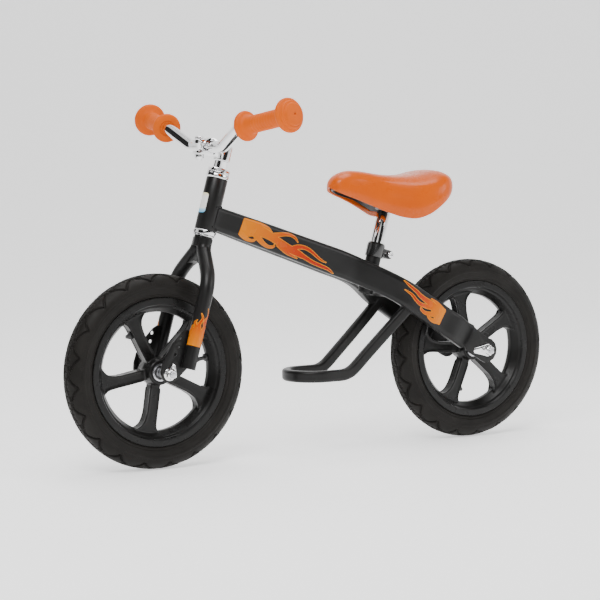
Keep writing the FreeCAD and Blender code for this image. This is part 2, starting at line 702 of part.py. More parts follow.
web_points = [(0, 20), (9, 20), (9, 30), (36, 59), (31, 65), (22, 57), (12, 52), (0, 50.5)]
web_outline = [steering_point(0, y, -s) for y, s in web_points]
web_outline += [steering_point(0, -y, -s) for y, s in reversed(web_points[1:-1])]
web_wire = Part.makePolygon([p - AHEAD * N["web_half"] for p in web_outline + web_outline[:1]])
web = Part.Face(web_wire).extrude(AHEAD * (2 * N["web_half"]))
steerer_core = Part.makeCylinder(N["steerer_radius"], 200,
                                 steering_point(0, 0, -N["crown_bottom"] + 4.0), UP)
crown = crown_block.fuse(web).cut(left_leg_full).cut(mirrored(left_leg_full))
crown = crown.fuse(crown_block).cut(steerer_core)
fixed("fork_crown", one_solid(crown.removeSplitter()))

front_lug = [
    (-47, 60), (-30, 66.8), (-22.3, 62.6), (-6.5, 46.9), (8.2, 24), (12.6, 10), (13.4, 0),
    (11.6, -7), (6.6, -12), (0, -13.4), (-9.5, -11.5), (-20.5, -2.5), (-30, 6), (-47, 22)]
lug_holes = [(-19.9, 55.3), (-16.6, 42.0), (-11.1, 29.5)]
for side, sign in (("left", 1), ("right", -1)):
    place = Placement(FRONT + Vector(0, sign * N["front_plate"], 0), Rotation())
    blank = plate("fork_lug_blank_" + side, "XZ_Plane", front_lug, S["plate_thick"], place,
                  [(x, z, S["lug_hole"]) for x, z in lug_holes]
                  + [(0.0, 0.0, S["axle_radius"])])
    del made["fork_lug_blank_" + side]
    leg_tool = left_leg_full if sign > 0 else mirrored(left_leg_full)
    fixed("fork_dropout_" + side, one_solid(blank.Shape.cut(leg_tool)))

# ---------------------------------------------------------------- frame tubes
MAIN_SLOPE = math.tan(math.radians(N["main_pitch"]))
STAY_SLOPE = math.tan(math.radians(N["stay_pitch"]))
MEET_X = (N["main_z"] - MAIN_SLOPE * N["main_x"] - N["stay_z"] + STAY_SLOPE * N["stay_x"])
MEET_X = MEET_X / (STAY_SLOPE - MAIN_SLOPE)


def frame_line(x):
    """Centre of the left frame tube at a forward position."""
    blend = N["pitch_blend"]
    main = N["main_z"] + MAIN_SLOPE * (x - N["main_x"])
    stay = N["stay_z"] + STAY_SLOPE * (x - N["stay_x"])
    if x > MEET_X + blend:
        z = main
    elif x < MEET_X - blend:
        z = stay
    else:
        part = (MEET_X + blend - x) / (2 * blend)
        z = main - (STAY_SLOPE - MAIN_SLOPE) * blend * part * part
    flare = smooth((N["flare_front"] - x) / (N["flare_front"] - N["flare_rear"]))
    narrow = smooth((x - 110) / 70)
    wide = N["tube_width"] + (N["tube_nose_width"] - N["tube_width"]) * narrow
    y = wide / 2 + N["tube_gap"] + (N["stay_spacing"] - N["tube_width"] / 2) * flare
    if x > N["mid_x"]:
        share = (N["main_x"] - x) / (N["main_x"] - N["mid_x"])
        tall = N["tube_tall_front"] + (N["tube_tall_mid"] - N["tube_tall_front"]) * share
    elif x > N["waist_x"]:
        share = smooth((N["mid_x"] - x) / (N["mid_x"] - N["waist_x"]))
        tall = N["tube_tall_mid"] + (N["tube_tall_waist"] - N["tube_tall_mid"]) * share
    else:
        share = smooth((N["waist_x"] - x) / (N["waist_x"] - N["full_x"]))
        tall = N["tube_tall_waist"] + (N["tube_tall_mid"] - N["tube_tall_waist"]) * share
    return Vector(x, y, z), tall, wide


def frame_stations(first, last, count):
    rows = []
    for i in range(count):
        x = first + (last - first) * i / (count - 1)
        centre, tall, wide = frame_line(x)
        along = frame_line(x - 0.5)[0] - frame_line(x + 0.5)[0]
        rows.append((centre, along, tall, wide, N["tube_corner"]))
    return rows


head_core = Part.makeCylinder(N["head_radius"], N["head_length"], HEAD, UP)
tube_outer = oval_loft(frame_stations(N["main_x"] + 14, N["stay_x"], 24), 0.0)
tube_inner = oval_loft(frame_stations(N["main_x"] + 16, N["stay_x"] + 2.0, 24), N["tube_wall"])
left_outer = one_solid(tube_outer.cut(head_core))
left_tube = one_solid(left_outer.cut(tube_inner))
fixed("frame_tube_left", left_tube)
fixed("frame_tube_right", mirrored(left_tube))
right_outer = mirrored(left_outer)

turned("seat_tube", [
    (S["post_radius"] + S["running_gap"], -S["seat_tube_length"]),
    (S["seat_tube_radius"], -S["seat_tube_length"]), (S["seat_tube_radius"], -1.0),
    (S["post_radius"] + S["running_gap"], -1.0)], "Z_Axis", SEATING)
seat_core = Part.makeCylinder(N["seat_tube_radius"], N["seat_tube_length"] + 20,
                              SEAT - UP * (N["seat_tube_length"] + 10), UP)


def bridge(label, rise, front, rear, thick):
    """A plate between the two stays, following their slope, welded to the seat tube."""
    ahead = frame_line(front)[0]
    behind = frame_line(rear)[0]
    slope = Vector(behind.x - ahead.x, 0, behind.z - ahead.z).normalize()
    normal = Vector(-slope.z, 0, slope.x)
    if normal.z < 0:
        normal = normal * -1
    start = Vector(ahead.x, 0, ahead.z) + normal * (rise - thick / 2)
    finish = start + slope * (Vector(behind.x, 0, behind.z) - Vector(ahead.x, 0, ahead.z)).Length
    edge = N["stay_spacing"]
    corners = [start + Vector(0, -edge, 0), start + Vector(0, edge, 0),
               finish + Vector(0, edge, 0), finish + Vector(0, -edge, 0)]
    block = Part.Face(Part.makePolygon(corners + corners[:1])).extrude(normal * thick)
    block = block.cut(left_outer).cut(right_outer).cut(seat_core)
    inner = [s for s in block.Solids if abs(s.CenterOfMass.y) < 5]
    fixed(label, max(inner, key=lambda s: s.Volume))


bridge("frame_bridge_lower", -14, -70, -126, 4)
bridge("frame_bridge_upper", 12, -66, -130, 4)

rear_lug = [
    (39.5, 44), (29.4, 44.4), (19.7, 35.2), (-1.5, 21.2), (-10.5, 17.8), (-17.5, 10.8),
    (-20.4, 1.0), (-19.2, -7.2), (-13.6, -15.6), (-4.5, -20.4), (3.6, -20.8), (12.0, -17.0),
    (20.7, -11.3), (42.3, 1.8), (50, 20)]
stay_end = frame_line(N["stay_x"])[0]
for side, sign in (("left", 1), ("right", -1)):
    place = Placement(REAR + Vector(0, sign * N["rear_plate"], 0), Rotation())
    blank = plate("rear_lug_blank_" + side, "XZ_Plane", rear_lug, S["plate_thick"], place,
                  [(0.0, 0.0, S["axle_radius"])])
    del made["rear_lug_blank_" + side]
    stay_tool = left_outer if sign > 0 else right_outer
    trimmed = blank.Shape.cut(stay_tool)
    fixed("rear_dropout_" + side, min(trimmed.Solids, key=lambda s: abs(s.CenterOfMass.x - REAR.x)))

# ---------------------------------------------------------------- footrest
slope = math.radians(N["foot_slope"])
bend_reach = N["foot_turn"] * math.tan(slope / 2)


def foot_rows():
    rows = []

    def add(x, y, z, along):
        rows.append((Vector(x, y, z), along, N["foot_tall"], N["foot_wide"], N["foot_corner"]))

    top_x = N["foot_top_x"]
    start_x = N["foot_bend"] - bend_reach * math.cos(slope)
    spread = N["foot_top_spacing"] - N["foot_spacing"]
    for i in range(7):
        x = top_x + (start_x - top_x) * i / 6
        z = N["foot_height"] + (N["foot_bend"] - x) * math.tan(slope)
        y = N["foot_spacing"] + spread * (1 - i / 6) ** 2
        dy = -2 * spread * (1 - i / 6) / (start_x - top_x)
        add(x, y, z, Vector(math.cos(slope), dy * math.cos(slope), -math.sin(slope)))
    hub = Vector(N["foot_bend"] + bend_reach, 0, N["foot_height"] + N["foot_turn"])
    for i in range(1, 5):
        angle = slope * (1 - i / 4)
        add(hub.x - N["foot_turn"] * math.sin(angle), N["foot_spacing"],
            hub.z - N["foot_turn"] * math.cos(angle),
            Vector(math.cos(angle), 0, -math.sin(angle)))
    run = N["foot_front"] - hub.x
    for i in range(1, 3):
        add(hub.x + run * i / 2, N["foot_spacing"], N["foot_height"], Vector(1, 0, 0))
    for i in range(1, 6):
        angle = math.pi / 2 * (1 - i / 6)
        add(N["foot_front"] + N["foot_spacing"] * math.cos(angle),
            N["foot_spacing"] * math.sin(angle), N["foot_height"],
            Vector(math.sin(angle), -math.cos(angle), 0))
    mirror_rows = []
    for centre, along, tall, wide, corner in reversed(rows):
        mirror_rows.append((Vector(centre.x, -centre.y, centre.z),
                            Vector(-along.x, along.y, -along.z), tall, wide, corner))
    add(N["foot_front"] + N["foot_spacing"], 0, N["foot_height"], Vector(0, -1, 0))
    return rows + mirror_rows


foot_list = foot_rows()
foot_outer = oval_loft(foot_list, 0.0)
foot_inner = oval_loft(foot_list, N["tube_wall"])
foot = foot_outer.cut(left_outer).cut(right_outer)
foot = one_solid(foot).cut(foot_inner)
fixed("footrest_tube", one_solid(foot))

# ---------------------------------------------------------------- seat clamp, post
chamfer = 3.0
collar = Part.makeCylinder(N["collar_radius"], N["collar_height"] - chamfer,
                           Vector(0, 0, -N["collar_height"]), Vector(0, 0, 1))
collar_rim = Part.makeCone(N["collar_radius"], N["collar_radius"] - 1.8, chamfer,
                           Vector(0, 0, -chamfer), Vector(0, 0, 1))
ear_round = Part.makeCylinder(7.5, 16, Vector(-N["ear_reach"], -8, -N["ear_drop"]),
                              Vector(0, 1, 0))
ear_block = Part.makeBox(N["ear_reach"], 16, 15, Vector(-N["ear_reach"], -8, -N["ear_drop"] - 7.5))
collar = collar.fuse([collar_rim, ear_round, ear_block])
collar = collar.cut(Part.makeCylinder(N["seat_tube_radius"], N["collar_height"] - 1,
                                      Vector(0, 0, -N["collar_height"]), Vector(0, 0, 1)))
collar = collar.cut(Part.makeCylinder(N["post_radius"] + 0.6, N["collar_height"] + 2,
                                      Vector(0, 0, -N["collar_height"] - 1), Vector(0, 0, 1)))
collar = collar.cut(Part.makeBox(N["ear_reach"] + 10, 3, N["collar_height"] + 2,
                                 Vector(-N["ear_reach"] - 10, -1.5, -N["collar_height"] - 1)))
collar = collar.cut(Part.makeCylinder(3, 40, Vector(-N["ear_reach"], -20, -N["ear_drop"]),
                                      Vector(0, 1, 0)))
collar_item = fixed("seat_collar", one_solid(collar))
collar_item.Placement = SEATING
bolt_place = Placement(SEAT + AHEAD * -N["ear_reach"] + UP * -N["ear_drop"], TILT)
turned("seat_collar_bolt", [
    (0.0, -12.0), (2.6, -12.0), (3.0, -11.5), (3.0, 8.0), (5.6, 8.0), (5.6, 12.0),
    (4.8, 13.0), (2.6, 13.0), (2.6, 10.5), (0.0, 10.5)], "Y_Axis", bolt_place)
nut_body = new_body("seat_collar_nut", bolt_place)
nut_sketch = new_sketch(nut_body, "XZ_Plane", "Hexagon")
nut_sketch.AttachmentOffset = Placement(Vector(0, 0, 10), Rotation())
draw_outline(nut_sketch, hex_corners(dim(10.0)))
draw_circle(nut_sketch, 0.0, 0.0, 3.0)
pad(nut_body, nut_sketch, 4.0, "Hex")
turned("seat_post", [
    (S["post_radius"] - 1.6, -S["post_below"]), (S["post_radius"], -S["post_below"]),
    (S["post_radius"], S["post_above"]), (0.0, S["post_above"]),
    (0.0, S["post_above"] - 2.0), (S["post_radius"] - 1.6, S["post_above"] - 2.0)],
    "Z_Axis", SEATING)

# ---------------------------------------------------------------- saddle
# station: forward position, half width as a share, top height, lower edge height
SADDLE = [
    (-23.5, 0.10, 437.0, 430.5), (-27.0, 0.20, 444.5, 426.5), (-34.0, 0.275, 451.2, 423.0),
    (-46.0, 0.33, 456.8, 418.0), (-61.0, 0.365, 459.6, 412.5), (-85.0, 0.43, 457.8, 402.5),
    (-110.0, 0.55, 453.8, 391.5), (-135.0, 0.74, 451.5, 382.0), (-158.0, 0.90, 451.6, 379.5),
    (-182.0, 0.985, 454.2, 387.5), (-203.0, 1.0, 458.2, 401.0), (-218.0, 0.94, 459.2, 411.5),
    (-229.0, 0.80, 456.0, 420.0), (-236.5, 0.60, 449.5, 425.5), (-241.0, 0.34, 441.5, 429.5),
]


def saddle_wire(row, inset, skirt):
    """Arched cross section; a skirt carries its sides straight down below the lower edge."""
    x, share, top, low = row
    half = max(N["saddle_half"] * share - inset, 1.5)
    rise = max(top - inset * 1.3 - low, 4.0 - inset * 0.3)
    spots = [
        (half * 0.96, 0.0), (half, 0.30), (half * 0.97, 0.56), (half * 0.84, 0.79),
        (half * 0.55, 0.94), (half * 0.22, 0.992), (0.0, 1.0), (-half * 0.22, 0.992),
        (-half * 0.55, 0.94), (-half * 0.84, 0.79), (-half * 0.97, 0.56), (-half, 0.30),
        (-half * 0.96, 0.0)]
    knots = [Vector(x, y, low + rise * up) for y, up in spots]
    arch = Part.BSplineCurve()
    arch.interpolate(knots)
    if skirt == 0.0:
        return Part.Wire([arch.toShape(), Part.makeLine(knots[-1], knots[0])])
    drop = Vector(0, 0, -skirt)
    return Part.Wire([arch.toShape(), Part.makeLine(knots[-1], knots[-1] + drop),
                      Part.makeLine(knots[-1] + drop, knots[0] + drop),
                      Part.makeLine(knots[0] + drop, knots[0])])


def saddle_block(inset, skirt):
    """The saddle outline pulled in by 'inset' at the sides, the top and both ends."""
    first = SADDLE[0][0]
    last = SADDLE[-1][0]
    wires = []
    for x, share, top, low in SADDLE:
        pull = (x - (first + last) / 2) / ((first - last) / 2)
        wires.append(saddle_wire((x - inset * pull, share, top, low), inset, skirt))
    return Part.makeLoft(wires, True, False)


shell = N["saddle_shell"]
base_skin = shell + N["saddle_gap"]
deep = 14.0
fixed("saddle_cover", one_solid(saddle_block(0.0, 0.0).cut(saddle_block(shell, deep))))
post_top = SEAT + UP * N["post_above"]
base_solid = saddle_block(base_skin, 8.0)
hull = base_solid.cut(saddle_block(base_skin + N["base_thick"], deep))
# the base stops short of the cover's lower edge, a little at the nose and more further back
trim = [Vector(-10, -90, 340)]
for x, share, top, low in SADDLE:
    more = (N["base_lift"] - N["nose_lift"]) * smooth((-50 - x) / 45)
    trim.append(Vector(x, -90, low + N["nose_lift"] + more))
trim += [Vector(-270, -90, trim[-1].z), Vector(-270, -90, 340)]
trim.insert(1, Vector(-10, -90, trim[1].z))
under = Part.Face(Part.makePolygon(trim + trim[:1])).extrude(Vector(0, 180, 0))
socket = Part.makeCylinder(N["post_radius"] + 5, 90, post_top - UP * 30, UP)
base = hull.fuse(socket.common(base_solid)).cut(under)
base = base.cut(Part.makeCylinder(N["post_radius"], 60, post_top - UP * 60, UP))
fixed("saddle_base", one_solid(base))

# ---------------------------------------------------------------- stem
quill = Part.makeCylinder(N["quill_radius"], N["boss_bottom"] - N["quill_bottom"] + 4,
                          steering_point(0, 0, N["quill_bottom"]), UP)
boss = Part.makeCylinder(N["boss_radius"], N["boss_top"] - N["boss_bottom"],
                         steering_point(0, 0, N["boss_bottom"]), UP)
boss = boss.makeFillet(2.0, [e for e in boss.Edges if e.Closed and len(e.Vertexes) == 1])
clamp = Part.makeCylinder(N["clamp_radius"], 2 * N["clamp_half"],
                          BAR - Vector(0, N["clamp_half"], 0), Vector(0, 1, 0))
arm = Part.makeBox(N["bar_forward"], 22, 17, Vector(-N["bar_forward"], -11, -12.5))
arm.Placement = Placement(BAR, TILT)
ear_depth = N["clamp_bolt_x"] + 6.5
ear_width = 2 * N["clamp_half"] - 10
upper_ear = Part.makeBox(ear_depth, ear_width, N["ear_thick"],
                         BAR + Vector(0, -ear_width / 2, N["ear_top"] - N["ear_thick"]))
lower_ear = Part.makeBox(ear_depth, ear_width, N["ear_thick"],
                         BAR + Vector(0, -ear_width / 2, -N["ear_top"]))
stem = quill.fuse([boss, clamp, arm, upper_ear, lower_ear])
gap_half = N["ear_top"] - N["ear_thick"]
stem = stem.cut(Part.makeBox(40, 60, 2 * gap_half, BAR + Vector(0, -30, -gap_half)))
stem = stem.cut(Part.makeCylinder(N["bar_radius"] + N["running_gap"], 80,
                                  BAR - Vector(0, 40, 0), Vector(0, 1, 0)))
stem = stem.cut(Part.makeCylinder(5, 160, steering_point(0, 0, N["quill_bottom"] - 2), UP))
stem = stem.cut(Part.makeCylinder(8, 20, steering_point(0, 0, N["boss_top"] - 9), UP))
bolt_top = BAR + Vector(N["clamp_bolt_x"], 0, 0)
stem = stem.cut(Part.makeCylinder(N["clamp_bolt_radius"], 60, bolt_top - Vector(0, 0, 30),
                                  Vector(0, 0, 1)))
fixed("quill_stem", one_solid(stem.removeSplitter()))
turned("stem_expander_bolt", [
    (0.0, S["quill_bottom"] - 26.0), (4.0, S["quill_bottom"] - 26.0),
    (4.0, S["boss_top"] - 9.0), (6.8, S["boss_top"] - 9.0), (6.8, S["boss_top"] - 2.6),
    (5.8, S["boss_top"] - 1.6), (3.4, S["boss_top"] - 1.6), (3.4, S["boss_top"] - 6.0),
    (0.0, S["boss_top"] - 6.0)], "Z_Axis", STEERING)
turned("stem_wedge", [
    (4.0, S["quill_bottom"] - 24.0), (S["quill_radius"], S["quill_bottom"] - 24.0),
    (S["quill_radius"], S["quill_bottom"] - 6.0), (6.5, S["quill_bottom"]),
    (4.0, S["quill_bottom"])], "Z_Axis", STEERING)
clamp_place = Placement(bolt_top, Rotation())
bolt_under = S["ear_top"]
turned("stem_clamp_bolt", [
    (0.0, -S["ear_top"] - 10.0), (3.4, -S["ear_top"] - 10.0),
    (S["clamp_bolt_radius"], -S["ear_top"] - 9.4), (S["clamp_bolt_radius"], bolt_under),
    (6.8, bolt_under), (6.8, bolt_under + 4.4), (5.8, bolt_under + 5.4),
    (0.0, bolt_under + 5.4)], "Z_Axis", clamp_place)
clamp_nut = new_body("stem_clamp_nut", clamp_place)
clamp_nut_sketch = new_sketch(clamp_nut, "XY_Plane", "Hexagon")
clamp_nut_sketch.AttachmentOffset = Placement(
    Vector(0, 0, -(S["ear_top"] + 3.25).value), Rotation())
bind(clamp_nut_sketch, "AttachmentOffset.Base.z", -(S["ear_top"] + 3.25))
draw_outline(clamp_nut_sketch, hex_corners(dim(13.0)))
draw_circle(clamp_nut_sketch, 0.0, 0.0, S["clamp_bolt_radius"])
pad(clamp_nut, clamp_nut_sketch, 6.5, "Hex")

# ---------------------------------------------------------------- handlebar, grips
knee = Vector(N["bar_knee_x"], N["bar_knee_y"], N["bar_knee_z"])
tip = Vector(N["bar_end_x"], N["bar_end_y"], N["bar_end_z"])
left_half = [BAR + Vector(0, N["bar_bend_y"], 0), knee, tip]
right_half = [Vector(p.x, -p.y, p.z) for p in reversed(left_half)]
bar_points = right_half + left_half
bar_bends = [N["bar_turn"]] * (len(bar_points) - 2)
bar_solid = round_tube(bar_points, bar_bends, N["bar_radius"])
bar_hollow = round_tube(bar_points, bar_bends, N["bar_radius"] - N["bar_wall"])
fixed("handlebar", one_solid(bar_solid.cut(bar_hollow)))

grip_line = (tip - knee).normalize()
stretch = 1 / grip_line.y
inner_at = (N["grip_inner_y"] - N["bar_knee_y"]) * stretch
grip_span = (S["grip_outer_y"] - S["grip_inner_y"]) * stretch
bar_span = (S["bar_end_y"] - S["grip_inner_y"]) * stretch
inner_r = S["grip_inner_radius"]
outer_r = S["grip_outer_radius"]
grip_profile = [
    (S["bar_radius"], -5.5), (17.0, -5.5), (inner_r - 2.4, -4.8), (inner_r - 0.5, -2.6),
    (inner_r, 0.0), (inner_r - 0.5, 2.4), (inner_r - 2.2, 4.6), (17.5, 6.4),
    (S["grip_radius"] + 0.9, 9.5), (S["grip_radius"], 14.0),
    (S["grip_radius"], grip_span - 14.0), (S["grip_radius"] + 1.2, grip_span - 9.5),
    (20.0, grip_span - 6.8), (outer_r - 2.4, grip_span - 5.4), (outer_r - 0.5, grip_span - 2.8),
    (outer_r, grip_span), (outer_r - 0.6, grip_span + 2.8), (outer_r - 2.6, grip_span + 4.6),
    (21.6, grip_span + 5.4), (21.4, grip_span + 7.6), (20.2, grip_span + 9.0),
    (17.6, grip_span + 9.4), (17.3, grip_span + 11.4), (15.5, grip_span + 12.8),
    (8.0, grip_span + 13.6), (1.4, grip_span + 13.8), (1.4, bar_span + 1.0),
    (S["bar_radius"], bar_span)]
for side, sign in (("left", 1), ("right", -1)):
    start = knee + grip_line * inner_at
    spot = Vector(start.x, sign * start.y, start.z)
    aim = Vector(grip_line.x, sign * grip_line.y, grip_line.z)
    turned("grip_" + side, grip_profile, "Y_Axis",
           Placement(spot, Rotation(Vector(0, 1, 0), aim)))

# ---------------------------------------------------------------- check and export
doc.recompute()
problems = []
for item in doc.Objects:
    if "Invalid" in item.State or "Error" in item.State:
        problems.append(item.Name + " state " + ",".join(item.State))
for label, item in made.items():
    shape = item.Shape
    if shape.isNull() or not shape.isValid():
        problems.append(label + " shape")
    elif len(shape.Solids) != 1:
        problems.append(label + " solids " + str(len(shape.Solids)))
if problems:
    raise RuntimeError("; ".join(problems))
for label, item in made.items():
    item.Shape.exportStep("parts/" + label + ".step")
print("nodes", len(made))
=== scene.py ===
import json
import math

import bmesh
import bpy
from mathutils import Matrix, Vector, noise
from mathutils.bvhtree import BVHTree


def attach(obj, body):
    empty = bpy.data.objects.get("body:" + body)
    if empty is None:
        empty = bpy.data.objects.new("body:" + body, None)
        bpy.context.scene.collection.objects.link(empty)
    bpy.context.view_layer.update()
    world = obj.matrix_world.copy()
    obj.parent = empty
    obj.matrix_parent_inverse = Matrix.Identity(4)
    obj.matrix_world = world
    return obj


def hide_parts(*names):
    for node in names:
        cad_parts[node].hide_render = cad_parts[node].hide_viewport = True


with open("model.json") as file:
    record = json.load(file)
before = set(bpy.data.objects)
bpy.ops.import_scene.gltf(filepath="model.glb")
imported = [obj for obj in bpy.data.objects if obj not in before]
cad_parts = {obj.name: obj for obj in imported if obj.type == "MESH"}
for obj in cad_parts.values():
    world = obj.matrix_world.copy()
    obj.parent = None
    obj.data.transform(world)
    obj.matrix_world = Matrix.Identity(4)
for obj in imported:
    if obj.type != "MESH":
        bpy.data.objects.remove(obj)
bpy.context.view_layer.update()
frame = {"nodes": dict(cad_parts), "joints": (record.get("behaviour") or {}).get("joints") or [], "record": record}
NODES = frame["nodes"]
BODY = {}
for body_name, members in frame["record"]["behaviour"]["bodies"].items():
    for member in members:
        BODY[member] = body_name
SLOT = {row["node"]: row["material_slot"] for row in frame["record"]["subparts"]}
JOINT = {joint["name"]: joint for joint in frame["joints"]}
MM = 0.001


# ------------------------------------------------------------------ materials
class Nodes:
    """Small helper that adds and joins shader nodes."""

    def __init__(self, name):
        self.mat = bpy.data.materials.new(name)
        self.mat.use_nodes = True
        self.tree = self.mat.node_tree
        self.tree.nodes.clear()
        self.out = self.add("ShaderNodeOutputMaterial")
        self.shader = self.add("ShaderNodeBsdfPrincipled")
        self.link(self.shader.outputs["BSDF"], self.out.inputs["Surface"])
        self.coord = self.add("ShaderNodeTexCoord")

    def add(self, kind, **values):
        node = self.tree.nodes.new(kind)
        for key, value in values.items():
            setattr(node, key, value)
        return node

    def link(self, a, b):
        self.tree.links.new(a, b)

    def noise(self, scale, detail=3.0, rough=0.55, source=None, distortion=0.0):
        node = self.add("ShaderNodeTexNoise")
        node.inputs["Scale"].default_value = scale
        node.inputs["Detail"].default_value = detail
        node.inputs["Roughness"].default_value = rough
        node.inputs["Distortion"].default_value = distortion
        self.link(source or self.coord.outputs["Object"], node.inputs["Vector"])
        return node.outputs["Fac"]

    def ramp(self, value, stops):
        node = self.add("ShaderNodeValToRGB")
        band = node.color_ramp
        while len(band.elements) < len(stops):
            band.elements.new(0.5)
        for element, (spot, colour) in zip(band.elements, stops):
            element.position = spot
            element.color = (*colour, 1.0)
        self.link(value, node.inputs["Fac"])
        return node.outputs["Color"]

    def scaled(self, value, low, high, start=0.3, end=0.7):
        node = self.add("ShaderNodeMapRange")
        node.inputs["From Min"].default_value = start
        node.inputs["From Max"].default_value = end
        node.inputs["To Min"].default_value = low
        node.inputs["To Max"].default_value = high
        self.link(value, node.inputs["Value"])
        return node.outputs["Result"]

    def bump(self, value, distance, strength=1.0, before=None):
        node = self.add("ShaderNodeBump")
        node.inputs["Strength"].default_value = strength
        node.inputs["Distance"].default_value = distance
        self.link(value, node.inputs["Height"])
        if before is not None:
            self.link(before, node.inputs["Normal"])
        return node.outputs["Normal"]

    def set(self, **values):
        for key, value in values.items():
            self.shader.inputs[key.replace("_", " ")].default_value = value


def surface(name, light, dark, rough, metal=0.0, patch=18.0, grain=900.0, grain_depth=0.00004,
            wave_depth=0.0, wave=60.0, coat=0.0, coat_rough=0.06, specular=0.5, scatter=0.0):
    """A finish with a drifting colour, an uneven gloss and a fine grain."""
    n = Nodes(name)
    drift = n.noise(patch, 4.0)
    n.link(n.ramp(drift, [(0.35, dark), (0.65, light)]), n.shader.inputs["Base Color"])
    n.link(n.scaled(n.noise(patch * 3.1, 3.0), rough[0], rough[1]), n.shader.inputs["Roughness"])
    normal = n.bump(n.noise(grain, 2.0), grain_depth)
    if wave_depth > 0.0:
        normal = n.bump(n.noise(wave, 1.5), wave_depth, 1.0, normal)
    n.link(normal, n.shader.inputs["Normal"])
    n.set(Metallic=metal, Coat_Weight=coat, Coat_Roughness=coat_rough, Specular_IOR_Level=specular)
    if scatter > 0.0:
        n.set(Subsurface_Weight=scatter, Subsurface_Scale=0.002)
    return n.mat


MAT = {
    "frame_paint": surface("black_powder_coat", (0.0105, 0.0102, 0.0100), (0.0070, 0.0068, 0.0066),
                           (0.30, 0.42), patch=9.0, grain=1500.0, grain_depth=0.00005,
                           coat=0.05, coat_rough=0.2, specular=0.22),
    "collar_paint": surface("black_gloss_paint", (0.014, 0.014, 0.014), (0.009, 0.009, 0.009),
                            (0.16, 0.26), grain=700.0, grain_depth=0.00002, coat=0.5),
    "chrome": surface("chrome_plate", (0.88, 0.88, 0.885), (0.80, 0.80, 0.81), (0.035, 0.10),
                      metal=1.0, patch=25.0, grain=420.0, grain_depth=0.000006,
                      wave_depth=0.00003, wave=90.0),
    "bright_steel": surface("zinc_plate", (0.62, 0.62, 0.64), (0.50, 0.50, 0.53), (0.22, 0.36),
                            metal=1.0, patch=40.0, grain=1600.0, grain_depth=0.00002),
    "grip_rubber": surface("orange_grip", (0.66, 0.108, 0.0), (0.61, 0.095, 0.0), (0.46, 0.60),
                           patch=22.0, grain=1300.0, grain_depth=0.00003, specular=0.14),
    "wheel_plastic": surface("moulded_black", (0.009, 0.0088, 0.0085), (0.006, 0.0058, 0.0055),
                             (0.24, 0.36), patch=14.0, grain=1100.0, grain_depth=0.00004,
                             specular=0.22),
    "tyre_rubber": surface("tyre_black", (0.0135, 0.0122, 0.0108), (0.0085, 0.0076, 0.0066),
                           (0.46, 0.62), patch=20.0, grain=1700.0, grain_depth=0.00008,
                           specular=0.14),
    "valve_rubber": surface("valve_black", (0.022, 0.022, 0.022), (0.015, 0.015, 0.015),
                            (0.35, 0.5), patch=60.0, grain=1500.0),
    "clip_plastic": surface("clip_black", (0.028, 0.028, 0.029), (0.018, 0.018, 0.018),
                            (0.28, 0.4), patch=60.0, grain=1500.0),
    "saddle_cover": surface("orange_saddle", (0.60, 0.092, 0.0), (0.56, 0.084, 0.0),
                            (0.24, 0.34), patch=14.0, grain=600.0, grain_depth=0.000012,
                            wave_depth=0.00018, wave=22.0, coat=0.18, coat_rough=0.05,
                            specular=0.16),
    "saddle_base": surface("black_moulding", (0.016, 0.016, 0.016), (0.010, 0.010, 0.010),
                           (0.35, 0.5), patch=30.0, grain=1300.0, grain_depth=0.00005),
}


def dressed(obj, slot_name):
    """Give a piece the material of a slot of the record."""
    obj.data.materials.clear()
    obj.data.materials.append(MAT[slot_name])
    return obj


def linked(name, mesh):
    """A new object in the scene for a mesh."""
    obj = bpy.data.objects.new(name, mesh)
    bpy.context.scene.collection.objects.link(obj)
    return obj


def raw_object(name, verts, faces):
    """A new object from plain points and faces."""
    mesh = bpy.data.meshes.new(name)
    mesh.from_pydata([tuple(v) for v in verts], [], faces)
    return linked(name, mesh)


def smooth_all(obj):
    for polygon in obj.data.polygons:
        polygon.use_smooth = True


def smooth_by_angle(obj, degrees):
    """Smooth shading with hard edges where faces meet at more than an angle."""
    mesh = obj.data
    work = bmesh.new()
    work.from_mesh(mesh)
    limit = math.radians(degrees)
    for face in work.faces:
        face.smooth = True
    for edge in work.edges:
        edge.smooth = not (len(edge.link_faces) == 2 and edge.calc_face_angle(0.0) > limit)
    work.to_mesh(mesh)
    work.free()


def make_object(name, verts, faces, slot_name, body, angle, replaces=()):
    """A finished piece: merged, facing outwards, shaded, dressed and riding on its body."""
    obj = raw_object(name, verts, faces)
    mesh = obj.data
    mesh.validate()
    work = bmesh.new()
    work.from_mesh(mesh)
    bmesh.ops.remove_doubles(work, verts=work.verts, dist=1e-7)
    bmesh.ops.recalc_face_normals(work, faces=work.faces)
    work.to_mesh(mesh)
    work.free()
    smooth_by_angle(obj, angle)
    dressed(obj, slot_name)
    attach(obj, body)
    if replaces:
        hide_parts(*replaces)
    return obj


def grid_faces(rows, columns, close_rows=False, close_columns=False, start=0):
    """Four-sided faces over a grid of points, which may close on itself either way."""
    faces = []
    for i in range(rows if close_rows else rows - 1):
        for j in range(columns if close_columns else columns - 1):
            a = start + i * columns + j
            b = start + i * columns + (j + 1) % columns
            c = start + ((i + 1) % rows) * columns + (j + 1) % columns
            d = start + ((i + 1) % rows) * columns + j
            faces.append((a, b, c, d))
    return faces


def frame_of(direction):
    """A direction and two more at right angles to it."""
    direction = Vector(direction).normalized()
    helper = Vector((0, 0, 1)) if abs(direction.z) < 0.9 else Vector((1, 0, 0))
    side = direction.cross(helper).normalized()
    return direction, side, side.cross(direction)


